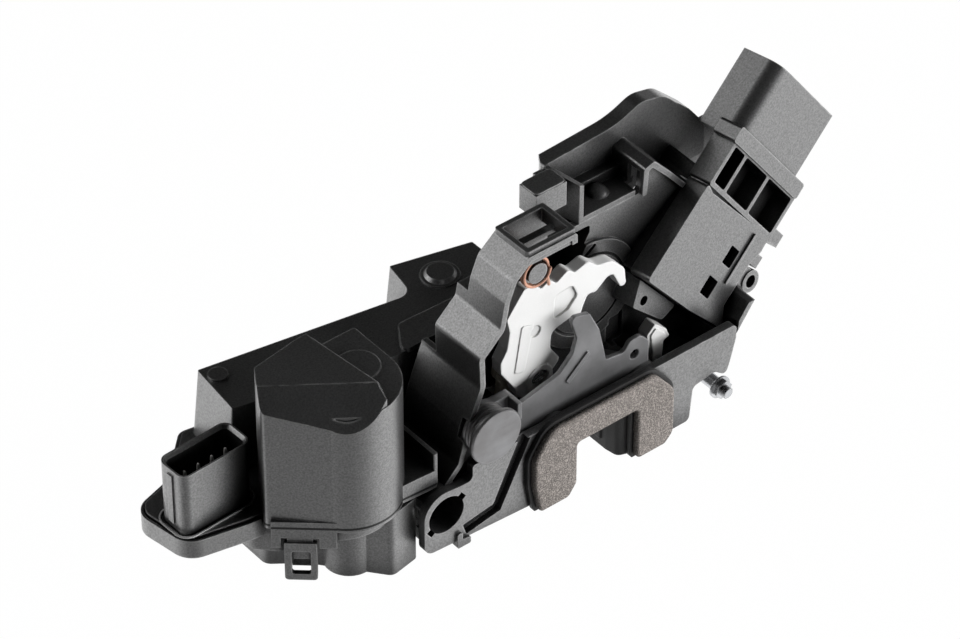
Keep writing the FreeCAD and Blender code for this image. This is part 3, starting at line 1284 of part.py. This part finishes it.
def build():
    parts = {}
    parts["actuator_base"] = actuator_base()
    parts["actuator_cover"] = actuator_cover()
    parts["lock_motor"] = lock_motor()
    parts["motor_rotor"] = motor_rotor()
    parts["idler_gear"] = idler_gear()
    parts["drive_wheel"] = drive_wheel()
    parts["drive_sector"] = drive_sector()
    parts["lock_cam"] = lock_cam()
    for k, axle in enumerate(gear_axles()):
        parts["gear_axle_%d" % (k + 1)] = axle
    parts["connector_shroud"] = connector_shroud()
    parts["connector_pins"] = Part.makeCompound(connector_pins())
    parts["connector_seal"] = connector_seal()
    parts["latch_housing"] = latch_housing()
    for k, (x, z) in enumerate(tray_screw_places()):
        parts["tray_screw_%d" % (k + 1)] = at(tray_screw(), x, 0, z)
    parts["latch_face_plate"] = latch_face_plate()
    parts["gasket_backing"] = gasket_backing()
    parts["face_gasket"] = face_gasket()
    parts["mouth_liner"] = mouth_liner()
    parts["mouth_frame"] = mouth_frame()
    parts["steel_bracket"] = steel_bracket()
    parts["claw"] = claw()
    parts["claw_overmould"] = claw_overmould()
    parts["claw_pin"] = claw_pin()
    parts["claw_spring"] = claw_spring()
    parts["pawl"] = pawl()
    parts["pawl_pin"] = pawl_pin()
    parts["pawl_spring"] = pawl_spring()
    parts["release_lever"] = release_lever()
    parts["release_screw"] = release_screw()
    parts["lock_lever"] = lock_lever()
    parts["lock_lever_pin"] = lock_lever_pin()
    parts["handle_disc"] = handle_disc()
    parts["handle_spring"] = handle_spring()
    parts["handle_lever"] = handle_lever()
    parts["copper_spring"] = copper_spring()
    parts["fixing_stud"] = fixing_stud()
    parts["side_cover"] = side_cover()
    parts["main_connector"] = main_connector()
    parts["main_terminals"] = Part.makeCompound(main_terminals())
    parts["upper_hood"] = upper_hood()
    return parts


if __name__ == "__main__":
    os.makedirs("parts", exist_ok=True)
    for name, shape in build().items():
        placed = shape.copy()
        placed.translate(Vec(datum_x, datum_y, datum_z))
        placed.exportStep("parts/" + name + ".step")
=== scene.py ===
import json
import math

import bpy
import numpy as np
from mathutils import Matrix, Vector


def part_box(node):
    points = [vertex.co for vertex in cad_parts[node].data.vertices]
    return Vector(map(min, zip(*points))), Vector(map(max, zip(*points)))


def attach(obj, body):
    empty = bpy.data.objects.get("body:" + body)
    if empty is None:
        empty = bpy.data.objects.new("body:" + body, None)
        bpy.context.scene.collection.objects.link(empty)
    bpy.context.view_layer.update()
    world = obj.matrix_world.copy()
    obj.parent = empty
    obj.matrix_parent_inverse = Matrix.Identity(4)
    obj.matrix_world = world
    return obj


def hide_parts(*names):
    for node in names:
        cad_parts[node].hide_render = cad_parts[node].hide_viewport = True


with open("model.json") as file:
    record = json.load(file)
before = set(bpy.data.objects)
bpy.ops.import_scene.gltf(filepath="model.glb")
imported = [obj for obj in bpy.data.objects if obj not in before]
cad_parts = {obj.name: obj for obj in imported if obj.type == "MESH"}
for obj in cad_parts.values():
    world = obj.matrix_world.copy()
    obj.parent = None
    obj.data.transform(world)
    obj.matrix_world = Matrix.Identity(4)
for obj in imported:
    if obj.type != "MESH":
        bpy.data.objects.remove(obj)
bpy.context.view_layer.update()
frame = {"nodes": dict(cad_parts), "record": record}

nodes = frame["nodes"]
MM = 0.001

# View of the photograph: where the camera aims, how it is turned and how far it stands
aim = Vector((1.39, 9.58, 40.0)) * MM
camera_turn = math.radians(39.0)
camera_height = math.radians(40.5)
camera_distance = 1.5
camera_lens = 180.0
camera_sensor = 36.0
camera_near = 0.05
camera_far = 20.0

# Soft lamps: low at the front right, and at the back left
front_lamp = {"place": (1.1, -1.15, 0.36), "width": 2.2, "height": 0.7, "power": 50.0, "mirrored": False}
left_lamp = {"place": (-1.15, 1.05, 0.8), "width": 1.6, "height": 1.4, "power": 10.0, "mirrored": True}

# Room: bright round the horizon, dark overhead (heights are sines of the angle above the floor)
room_grey = 0.8
horizon_light = 1.3
overhead_light = 0.015
overhead_starts = 0.02
overhead_full = 0.3

# The room is darker behind the camera (the band is in cosines of the angle from the camera's side)
camera_side = (-0.63, -0.776, 0.0)
shade_starts = 0.2
shade_full = 0.75
room_shade = 1.0
floor_shade = 0.75

# Floor: how white it glows to the camera and in gloss, its paint in all other light, and its place
floor_white = 0.995
floor_paint = 0.88
floor_half = 6.0
floor_sink = 0.2 * MM

# Band of a noise that is stretched to full contrast
noise_band = (0.3, 0.7)

# Grain of a mould: how much finer its second noise is, the first one's share, and the two masks' bands
grain_scale = 2400.0
grain_finer = 3.1
grain_share = 0.65
fleck_band = (0.4, 0.72)
mottle_band = (0.32, 0.68)

# Rubbed edges, lightened partly for wear and partly as a painted highlight: how round they are, the band of
# the normal's lean, and the patches that break them up
edge_radius = 0.75 * MM
edge_lean = (0.003, 0.07)
edge_patches = 260.0

# Painted shade in crevices: how far a wall darkens the next one, and the band of open sky that does it
painted_shade_reach = 14.0 * MM
painted_shade_band = (0.35, 0.85)

# Brushed lines: how they are turned and stretched
streak_scale = 900.0
streak_turn = 0.5
streak_stretch = 0.06

# Moulded plastic: clouds of colour, rubbed edges with a painted highlight, relief, and how roughness and
# gloss vary
plastic_cloud = 38.0
plastic_wear_and_highlight = 0.55
plastic_relief = 0.8
plastic_vary = 0.1
grain_gloss = 0.7
coat_rough = 0.33

# Metal: patches of tarnish, rubbed edges, relief, how lines and patches add to the roughness, and
# what is taken off for them
metal_patches = 70.0
metal_band = (0.35, 0.7)
metal_rub = 0.8
metal_relief = 0.6
line_vary = 0.2
patch_vary = 0.08
vary_mean = 0.12

# Painted shade of the open joint between the lip of the base and the cover
joint_drop = 1.4 * MM
joint_open = 0.9 * MM
joint_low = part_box("connector_seal")[0][2] - joint_drop
joint_high = joint_low + joint_open

# Foam pad round the striker mouth
foam_step = 0.6 * MM
foam_round = 0.9 * MM
foam_rings = 5

# Web between the hood and the large connector
web_half = 10.0 * MM
web_height = 70.0 * MM
web_thick = 2.0 * MM

# Lid of the small box left of the hood
box_behind = 2.0 * MM
box_wide = 12.0 * MM
box_deep = 8.0 * MM
box_top = 101.0 * MM
lid_thick = 0.6 * MM
lid_inset = 0.1 * MM

# Outline of a flat plate: corner sharpness and points round it
plate_power = 8
plate_points = 64

# Moulded finishes: colours of the body, of pale flecks, of rubbed edges (wear and a painted highlight) and
# of the painted shade in crevices
black_look = {"dark": (0.018, 0.018, 0.0185), "light": (0.03, 0.03, 0.031), "edge_wear_highlight": (0.6, 0.6, 0.6),
              "pale": (0.11, 0.11, 0.11), "fleck": 0.6, "scale": 1700.0, "depth": 0.14 * MM,
              "coat": 1.0, "coat_ior": 2.7}
smooth_grain = {"fleck": 0.2, "scale": 900.0, "depth": 0.03 * MM}
moulded_looks = {
    "black_plastic": black_look,
    "cover_plastic_joint_shade": black_look | {"joint": True},
    "black_rubber": {"dark": (0.02, 0.02, 0.02), "light": (0.03, 0.03, 0.03), "edge_wear_highlight": (0.07, 0.07, 0.07),
                     "rough": 0.55, "scale": 1500.0},
    "pale_sealant": {"dark": (0.4, 0.4, 0.4), "light": (0.6, 0.6, 0.6), "edge_wear_highlight": (0.75, 0.75, 0.75),
                     "crevice_shade": (0.2, 0.2, 0.2), "rough": 0.35, "scale": 700.0, "depth": 0.15 * MM},
    "white_plastic": smooth_grain | {"dark": (0.68, 0.68, 0.675), "light": (0.74, 0.74, 0.735),
                                     "edge_wear_highlight": (0.8, 0.8, 0.8), "crevice_shade": (0.62, 0.62, 0.61)},
    "cream_plastic": smooth_grain | {"dark": (0.6, 0.57, 0.49), "light": (0.68, 0.65, 0.56),
                                     "edge_wear_highlight": (0.76, 0.74, 0.67), "crevice_shade": (0.3, 0.28, 0.22), "rough": 0.4},
    "gear_plastic": smooth_grain | {"dark": (0.64, 0.64, 0.62), "light": (0.7, 0.7, 0.68),
                                    "edge_wear_highlight": (0.8, 0.8, 0.79), "crevice_shade": (0.3, 0.3, 0.29), "rough": 0.4},
}

# Metal finishes: colours of the body, of tarnished patches and of rubbed edges
metal_looks = {
    "dark_steel": {"base": (0.24, 0.24, 0.245), "tarnish": (0.16, 0.16, 0.163), "bright": (0.5, 0.5, 0.51),
                   "rough": 0.42, "metallic": 0.6},
    "plain_steel": {"base": (0.42, 0.42, 0.43), "tarnish": (0.33, 0.32, 0.32), "bright": (0.7, 0.7, 0.71),
                    "rough": 0.5},
    "bright_zinc": {"base": (0.72, 0.73, 0.75), "tarnish": (0.55, 0.56, 0.58), "bright": (0.86, 0.87, 0.88),
                    "rough": 0.26},
    "tinned_terminal": {"base": (0.85, 0.84, 0.81), "tarnish": (0.7, 0.69, 0.66),
                        "bright": (0.95, 0.94, 0.92), "rough": 0.35, "metallic": 0.35},
    "copper_wire": {"base": (0.92, 0.52, 0.38), "tarnish": (0.75, 0.38, 0.26), "bright": (0.98, 0.7, 0.58),
                    "rough": 0.34, "scale": 2500.0, "metallic": 0.7},
}

# Foam finish: colours of the body, of pale specks and of the painted shade in the pits
foam_dark = (0.17, 0.155, 0.145)
foam_light = (0.23, 0.21, 0.2)
foam_speck = (0.42, 0.38, 0.35)
foam_pit_shade = (0.06, 0.055, 0.05)
foam_rough = 0.88
foam_cloud = 60.0
foam_cells = 1900.0
foam_cell_band = (0.1, 0.75)
foam_specks = 2300.0
foam_speck_band = (0.42, 0.66)
foam_pit_shade_share = 0.8
foam_depth = 0.1 * MM
foam_relief = 0.7


# Nodes

def add(tree, kind, inputs=None, **settings):
    """New shader node; each input is a plain value or the output socket of another node."""
    node = tree.nodes.new("ShaderNode" + kind)
    for label, value in settings.items():
        setattr(node, label, value)
    for label, value in (inputs or {}).items():
        if isinstance(value, bpy.types.NodeSocket):
            tree.links.new(value, node.inputs[label])
        else:
            node.inputs[label].default_value = value
    return node


def maths(tree, operation, *values):
    """Result of a Math node on one to three numbers or sockets."""
    return add(tree, "Math", dict(enumerate(values)), operation=operation).outputs[0]


def noise(tree, place, scale, detail, roughness=0.5):
    """Fractal noise between 0 and 1 at a place in metres."""
    inputs = {"Vector": place, "Scale": scale, "Detail": detail, "Roughness": roughness}
    return add(tree, "TexNoise", inputs).outputs["Fac"]


def spread(tree, value, low, high):
    """Stretches the band from low to high over 0 to 1."""
    return add(tree, "MapRange", {"Value": value, "From Min": low, "From Max": high}).outputs["Result"]


def object_place(tree):
    """Place on the piece itself, in metres."""
    return add(tree, "TexCoord").outputs["Object"]


def blend_colour(tree, factor, first, second):
    """The first colour at factor 0, the second at 1; a Mix node takes its colours at inputs 6 and 7."""
    ends = [colour + (1.0,) if isinstance(colour, tuple) else colour for colour in (first, second)]
    return add(tree, "Mix", {0: factor, 6: ends[0], 7: ends[1]}, data_type="RGBA").outputs[2]


def clear_tree(owner):
    """Empty node tree of a new material or world."""
    owner.use_nodes = True
    owner.node_tree.nodes.clear()
    return owner.node_tree


# Camera, lamps, room and floor

def set_camera():
    """Camera on the line from the aim point, turned and raised as the photograph's was."""
    back = Vector((-math.sin(camera_turn) * math.cos(camera_height),
                   -math.cos(camera_turn) * math.cos(camera_height), math.sin(camera_height)))
    eye = bpy.data.cameras.new("camera")
    eye.lens = camera_lens
    eye.sensor_width = camera_sensor
    eye.clip_start = camera_near
    eye.clip_end = camera_far
    holder = bpy.data.objects.new("camera", eye)
    bpy.context.scene.collection.objects.link(holder)
    holder.rotation_mode = "QUATERNION"
    holder.rotation_quaternion = (-back).to_track_quat("-Z", "Y")
    holder.location = aim + back * camera_distance
    bpy.context.scene.camera = holder


def set_lamp(name, place, width, height, power, mirrored):
    """Soft rectangular lamp that faces the aim point; glossy faces show it only where it is mirrored."""
    lamp = bpy.data.lights.new(name, "AREA")
    lamp.shape = "RECTANGLE"
    lamp.size = width
    lamp.size_y = height
    lamp.energy = power
    holder = bpy.data.objects.new(name, lamp)
    bpy.context.scene.collection.objects.link(holder)
    holder.location = place
    holder.rotation_mode = "QUATERNION"
    holder.rotation_quaternion = (aim - Vector(place)).to_track_quat("-Z", "Y")
    holder.visible_glossy = mirrored


def shade_by_way(tree, way, sign, loss):
    """1, sinking by the loss for ways that point, times the sign, to the camera's side."""
    toward = add(tree, "VectorMath", {0: way, 1: [sign * value for value in camera_side]},
                 operation="DOT_PRODUCT")
    band = {"Value": toward.outputs["Value"], "From Min": shade_starts, "From Max": shade_full,
            "To Min": 1.0, "To Max": 1.0 - loss}
    return add(tree, "MapRange", band, interpolation_type="SMOOTHSTEP").outputs["Result"]


def set_room():
    """Dark overhead, bright round the horizon and dimmer behind the camera; the camera sees it white."""
    room = bpy.data.worlds.new("room")
    bpy.context.scene.world = room
    tree = clear_tree(room)
    way = add(tree, "TexCoord").outputs["Generated"]
    band = {"Value": add(tree, "SeparateXYZ", {0: way}).outputs["Z"], "From Min": overhead_starts,
            "From Max": overhead_full, "To Min": horizon_light, "To Max": overhead_light}
    height = add(tree, "MapRange", band, interpolation_type="SMOOTHSTEP").outputs["Result"]
    strength = maths(tree, "MULTIPLY", height, shade_by_way(tree, way, 1.0, room_shade))
    light = add(tree, "Background", {"Color": (room_grey, room_grey, room_grey, 1), "Strength": strength})
    seen = add(tree, "Background", {"Color": (1, 1, 1, 1), "Strength": 1.0})
    camera_ray = add(tree, "LightPath").outputs["Is Camera Ray"]
    mix = add(tree, "MixShader", {0: camera_ray, 1: light.outputs[0], 2: seen.outputs[0]})
    add(tree, "OutputWorld", {"Surface": mix.outputs[0]})


def set_floor():
    """Wide table top in white paint; to the camera, in gloss and through glass it glows white."""
    x, y = np.array([-1, 1, 1, -1]) * floor_half, np.array([-1, -1, 1, 1]) * floor_half
    mesh = bpy.data.meshes.new("floor")
    mesh.from_pydata(np.column_stack([x, y, np.full(4, -floor_sink)]).tolist(), [], [(0, 1, 2, 3)])
    floor = bpy.data.objects.new("floor", mesh)
    bpy.context.scene.collection.objects.link(floor)
    paint = bpy.data.materials.new("white_table")
    mesh.materials.append(paint)
    tree = clear_tree(paint)
    path = add(tree, "LightPath").outputs
    rays = maths(tree, "MAXIMUM", path["Is Camera Ray"], path["Is Glossy Ray"])
    rays = maths(tree, "MAXIMUM", rays, path["Is Transmission Ray"])
    way = add(tree, "NewGeometry").outputs["Incoming"]
    shade = shade_by_way(tree, way, -1.0, floor_shade)
    shade = maths(tree, "MAXIMUM", shade, path["Is Camera Ray"])
    glow = add(tree, "Emission", {"Color": (1, 1, 1, 1), "Strength": shade})
    lit = add(tree, "BsdfDiffuse", {"Color": (floor_paint, floor_paint, floor_paint, 1)})
    part = maths(tree, "MULTIPLY", rays, floor_white)
    mix = add(tree, "MixShader", {0: part, 1: lit.outputs[0], 2: glow.outputs[0]})
    add(tree, "OutputMaterial", {"Surface": mix.outputs[0]})


# Effects that several finishes share

def new_group(name, inputs, outputs):
    """Shader node group with number inputs and the given outputs; gives its ends too."""
    group = bpy.data.node_groups.new(name, "ShaderNodeTree")
    for label, value in inputs.items():
        socket = group.interface.new_socket(label, in_out="INPUT", socket_type="NodeSocketFloat")
        socket.default_value = value
    for label, kind in outputs.items():
        group.interface.new_socket(label, in_out="OUTPUT", socket_type="NodeSocket" + kind)
    return group, group.nodes.new("NodeGroupInput").outputs, group.nodes.new("NodeGroupOutput").inputs


def place_group(tree, group, **values):
    """Outputs of a group placed in a finish, with its own values."""
    return add(tree, "Group", values, node_tree=group).outputs


def grain_group():
    """Fine eroded grain of a mould: two noises, one about three times finer than the other."""
    group, given, result = new_group("mould_grain", {"Scale": grain_scale},
                                     {"Height": "Float", "Fleck": "Float", "Mottle": "Float"})
    place = object_place(group)
    coarse = noise(group, place, given["Scale"], 3.0, 0.6)
    fine = noise(group, place, maths(group, "MULTIPLY", given["Scale"], grain_finer), 2.0)
    relief = maths(group, "MULTIPLY", coarse, grain_share)
    group.links.new(maths(group, "MULTIPLY_ADD", fine, 1.0 - grain_share, relief), result["Height"])
    group.links.new(spread(group, fine, *fleck_band), result["Fleck"])
    group.links.new(spread(group, coarse, *mottle_band), result["Mottle"])
    return group


def edge_group():
    """Mask of sharp edges, for wear and a painted highlight, from the lean of the rounded normal, broken up
    by noise, and that normal.
    """
    group, given, result = new_group("edge_wear_and_highlight", {"Amount": 1.0}, {"Mask": "Float", "Normal": "Vector"})
    rounded = add(group, "Bevel", {"Radius": edge_radius}, samples=6).outputs[0]
    flat = add(group, "NewGeometry").outputs["Normal"]
    agree = add(group, "VectorMath", {0: rounded, 1: flat}, operation="DOT_PRODUCT").outputs["Value"]
    band = spread(group, maths(group, "SUBTRACT", 1.0, agree), *edge_lean)
    patches = spread(group, noise(group, object_place(group), edge_patches, 4.0), *noise_band)
    mask = maths(group, "MULTIPLY", maths(group, "MULTIPLY", band, patches), given["Amount"])
    group.links.new(mask, result["Mask"])
    group.links.new(rounded, result["Normal"])
    return group


def streak_group():
    """Brushed lines: noise stretched about seventeen times along one direction."""
    group, given, result = new_group("brushed_lines", {"Scale": streak_scale}, {"Lines": "Float"})
    along = {"Vector": object_place(group), "Rotation": (0.0, streak_turn, 0.0),
             "Scale": (streak_stretch, 1.0, 1.0)}
    lines = noise(group, add(group, "Mapping", along).outputs[0], given["Scale"], 4.0, 0.6)
    group.links.new(lines, result["Lines"])
    return group


def painted_shade_group():
    """Mask of painted shade: 1 on open faces, sinking to 0 where walls stand close round the point."""
    least, most = painted_shade_band
    group, given, result = new_group("crevices", {"Least": least, "Most": most}, {"Open": "Float"})
    around = add(group, "AmbientOcclusion", {"Distance": painted_shade_reach}, samples=6).outputs["AO"]
    group.links.new(spread(group, around, given["Least"], given["Most"]), result["Open"])
    return group


def joint_shade_group():
    """Mask of painted shade: 0 inside the open joint round the cover's foot, 1 elsewhere."""
    group, given, result = new_group("painted_joint_shade", {"Low": joint_low, "High": joint_high}, {"Open": "Float"})
    z = add(group, "SeparateXYZ", {0: object_place(group)}).outputs["Z"]
    above = maths(group, "GREATER_THAN", z, given["Low"])
    below = maths(group, "LESS_THAN", z, given["High"])
    inside = maths(group, "MULTIPLY", above, below)
    group.links.new(maths(group, "SUBTRACT", 1.0, inside), result["Open"])
    return group


GRAIN = grain_group()
JOINT_SHADE = joint_shade_group()
EDGES = edge_group()
PAINTED_SHADE = painted_shade_group()
STREAKS = streak_group()


# Finishes

def start_finish(name):
    """New material, its tree and its Principled shader."""
    finish = bpy.data.materials.new(name)
    finish.use_nodes = True
    return finish, finish.node_tree, finish.node_tree.nodes["Principled BSDF"]


def roughen(tree, skin, height, depth, strength, normal=None):
    """Bumps the skin by a height, on top of the rounded normal where one is given."""
    inputs = {"Height": height, "Distance": depth, "Strength": strength}
    if normal is not None:
        inputs["Normal"] = normal
    tree.links.new(add(tree, "Bump", inputs).outputs[0], skin.inputs["Normal"])


def moulded(name, dark, light, edge_wear_highlight, rough=0.36, scale=grain_scale, depth=0.04 * MM, coat=0.0,
            coat_ior=1.5, pale=None, fleck=0.5, crevice_shade=(0.004, 0.004, 0.004), joint=False):
    """Moulded plastic: mottled colour with pale flecks of the grain, rubbed edges lightened for wear and a
    painted highlight, and painted shade in crevices and in the open joint.
    """
    finish, tree, skin = start_finish(name)
    grain = place_group(tree, GRAIN, Scale=scale)
    edges = place_group(tree, EDGES, Amount=plastic_wear_and_highlight)
    # Painted shade: where walls stand close, the colour sinks to the crevice colour and the coat fades
    clear = place_group(tree, PAINTED_SHADE)["Open"]
    # Painted shade of the open joint: a dark band round the cover's foot, with no coat
    if joint:
        clear = maths(tree, "MULTIPLY", clear, place_group(tree, JOINT_SHADE)["Open"])
    cloud = spread(tree, noise(tree, object_place(tree), plastic_cloud, 5.0), *noise_band)
    body = blend_colour(tree, cloud, dark, light)
    body = blend_colour(tree, maths(tree, "MULTIPLY", grain["Fleck"], fleck), body, pale or edge_wear_highlight)
    # Edges lighten towards the worn colour: partly wear, partly a painted highlight
    body = blend_colour(tree, edges["Mask"], body, edge_wear_highlight)
    # Painted shade in crevices and in the joint: the dark crevice colour where the mask is 0
    tree.links.new(blend_colour(tree, clear, crevice_shade, body), skin.inputs["Base Color"])
    shine = maths(tree, "MULTIPLY_ADD", cloud, plastic_vary, rough - plastic_vary / 2)
    tree.links.new(shine, skin.inputs["Roughness"])
    if coat:
        gloss = maths(tree, "MULTIPLY", clear, coat)
        broken = maths(tree, "MULTIPLY_ADD", grain["Mottle"], grain_gloss, 1.0 - grain_gloss / 2)
        tree.links.new(maths(tree, "MULTIPLY", gloss, broken), skin.inputs["Coat Weight"])
        skin.inputs["Coat Roughness"].default_value = coat_rough
        skin.inputs["Coat IOR"].default_value = coat_ior
    roughen(tree, skin, grain["Height"], depth, plastic_relief, edges["Normal"])
    return finish


def metal(name, base, tarnish, bright, rough, scale=streak_scale, metallic=1.0, depth=0.02 * MM):
    """Metal with brushed lines, patches of tarnish and bright rubbed edges."""
    finish, tree, skin = start_finish(name)
    lines = place_group(tree, STREAKS, Scale=scale)["Lines"]
    edges = place_group(tree, EDGES, Amount=metal_rub)
    patches = spread(tree, noise(tree, object_place(tree), metal_patches, 6.0, 0.6), *metal_band)
    body = blend_colour(tree, patches, base, tarnish)
    tree.links.new(blend_colour(tree, edges["Mask"], body, bright), skin.inputs["Base Color"])
    skin.inputs["Metallic"].default_value = metallic
    shine = maths(tree, "MULTIPLY_ADD", patches, patch_vary, rough - vary_mean)
    tree.links.new(maths(tree, "MULTIPLY_ADD", lines, line_vary, shine), skin.inputs["Roughness"])
    roughen(tree, skin, lines, depth, metal_relief, edges["Normal"])
    return finish


def foam_finish():
    """Closed-cell foam: pale and dark cells about 0.5 mm wide and shallow pits with painted shade."""
    finish, tree, skin = start_finish("gasket_foam")
    place = object_place(tree)
    cells = add(tree, "TexVoronoi", {"Vector": place, "Scale": foam_cells}).outputs["Distance"]
    pits = spread(tree, cells, *foam_cell_band)
    specks = spread(tree, noise(tree, place, foam_specks, 3.0, 0.65), *foam_speck_band)
    cloud = spread(tree, noise(tree, place, foam_cloud, 4.0), *noise_band)
    body = blend_colour(tree, cloud, foam_dark, foam_light)
    body = blend_colour(tree, specks, body, foam_speck)
    # Painted shade: the pits darken towards the pit colour
    pit_shade = maths(tree, "MULTIPLY", maths(tree, "SUBTRACT", 1.0, pits), foam_pit_shade_share)
    tree.links.new(blend_colour(tree, pit_shade, body, foam_pit_shade), skin.inputs["Base Color"])
    skin.inputs["Roughness"].default_value = foam_rough
    roughen(tree, skin, pits, foam_depth, foam_relief)
    return finish


def make_finishes():
    """Every finish of the part, under the name of its material slot."""
    finishes = {name: moulded(name, **look) for name, look in moulded_looks.items()}
    finishes.update({name: metal(name, **look) for name, look in metal_looks.items()})
    finishes["gasket_foam"] = foam_finish()
    return finishes


def dress_nodes(finishes):
    """Gives every CAD node the finish of its material slot, and the cover the one with the painted shade of
    the open joint.
    """
    for part in frame["record"]["subparts"]:
        mesh = nodes[part["node"]].data
        mesh.materials.clear()
        own = "cover_plastic_joint_shade" if part["node"] == "actuator_cover" else part["material_slot"]
        mesh.materials.append(finishes[own])


# Pieces that the scene adds

def add_piece(name, rings, finish, smooth):
    """Closed skin over rings of points (ring, point, xyz): walls from ring to ring and two flat ends."""
    rows, count = rings.shape[:2]
    here = np.arange((rows - 1) * count).reshape(rows - 1, count)
    beside = np.roll(here, -1, axis=1)
    walls = np.stack([here, beside, beside + count, here + count], axis=-1).reshape(-1, 4)
    ends = [np.arange(count)[::-1], np.arange(count) + (rows - 1) * count]
    mesh = bpy.data.meshes.new(name)
    mesh.from_pydata(rings.reshape(-1, 3).tolist(), [], [face.tolist() for face in [*walls, *ends]])
    mesh.polygons.foreach_set("use_smooth", [smooth] * len(walls) + [False] * len(ends))
    mesh.materials.append(FINISHES[finish])
    piece = bpy.data.objects.new(name, mesh)
    bpy.context.scene.collection.objects.link(piece)
    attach(piece, "housing")
    return piece


def gasket_outline():
    """Front outline of the CAD gasket as (x, z): the edges that one front triangle has and none shares."""
    mesh = nodes["face_gasket"].data
    places = np.array([vertex.co[:] for vertex in mesh.vertices])
    corners = np.array([face.vertices[:] for face in mesh.polygons])
    front = np.all(places[corners][:, :, 1] < places[:, 1].min() + 0.001 * MM, axis=1)
    points, same = np.unique(np.round(places[:, [0, 2]], 7), axis=0, return_inverse=True)
    edges = same.ravel()[corners[front]][:, [[0, 1], [1, 2], [2, 0]]].reshape(-1, 2).tolist()
    shared = {(last, first) for first, last in edges}
    onward = {first: last for first, last in edges if (first, last) not in shared}
    walk = [min(onward)]
    while onward[walk[-1]] != walk[0]:
        walk.append(onward[walk[-1]])
    return points[walk]


def spaced(outline, step):
    """The closed line through the points, cut again at even steps."""
    closed = np.vstack([outline, outline[:1]])
    way = np.concatenate([[0], np.cumsum(np.hypot(*np.diff(closed, axis=0).T))])
    count = int(way[-1] / step)
    marks = np.arange(count) * way[-1] / count
    return np.column_stack([np.interp(marks, way, closed[:, 0]), np.interp(marks, way, closed[:, 1])])


def make_foam_pad():
    """Foam pad: d in from the outline its front stands r - sqrt(r^2 - (r - d)^2) back, for d from 0 to r."""
    outline = spaced(gasket_outline(), foam_step)
    low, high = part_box("face_gasket")
    ahead = np.roll(outline, -1, axis=0) - np.roll(outline, 1, axis=0)
    inward = np.column_stack([-ahead[:, 1], ahead[:, 0]]) / np.hypot(*ahead.T)[:, None]
    turn = np.linspace(0, math.pi / 2, foam_rings)
    inset = np.concatenate([[0.0], foam_round * (1 - np.cos(turn))])
    back = np.concatenate([[high[1]], low[1] + foam_round * (1 - np.sin(turn))])
    flat = outline + inward * inset[:, None, None]
    rings = np.stack([flat[:, :, 0], np.tile(back[:, None], len(outline)), flat[:, :, 1]], axis=-1)
    pad = add_piece("foam_pad", rings, "gasket_foam", True)
    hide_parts("face_gasket")


def make_plate(name, middle, half, across):
    """Plate |a / half_a|^p + |b / half_b|^p = 1 round its middle, half_c thick each way along c."""
    a, b = (across + 1) % 3, (across + 2) % 3
    turn = np.arange(plate_points) * 2 * math.pi / plate_points
    cosine, sine = np.cos(turn), np.sin(turn)
    reach = (np.abs(cosine) ** plate_power + np.abs(sine) ** plate_power) ** (-1 / plate_power)
    rings = np.tile(np.array(middle), (2, plate_points, 1))
    rings[:, :, a] += half[a] * reach * cosine
    rings[:, :, b] += half[b] * reach * sine
    rings[0, :, across] -= half[across]
    rings[1, :, across] += half[across]
    add_piece(name, rings, "black_plastic", False)


def make_hood_web():
    """Web that closes the hood towards the large connector."""
    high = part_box("upper_hood")[1]
    middle = (high[0], high[1] - web_thick / 2, web_height)
    make_plate("hood_web", middle, (web_half, web_thick / 2, web_half), 1)


def make_box_lid():
    """Lid that closes the small box at the hood's left end, a hair inside its outline."""
    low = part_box("upper_hood")[0]
    middle = (low[0] + box_wide / 2, low[1] + box_behind + box_deep / 2, box_top + lid_thick / 2)
    half = (box_wide / 2 - lid_inset, box_deep / 2 - lid_inset, lid_thick / 2)
    make_plate("box_lid", middle, half, 2)


bpy.context.scene.view_settings.view_transform = "Standard"
set_camera()
set_room()
set_floor()
set_lamp("front_lamp", **front_lamp)
set_lamp("left_lamp", **left_lamp)
FINISHES = make_finishes()
dress_nodes(FINISHES)
make_foam_pad()
make_hood_web()
make_box_lid()
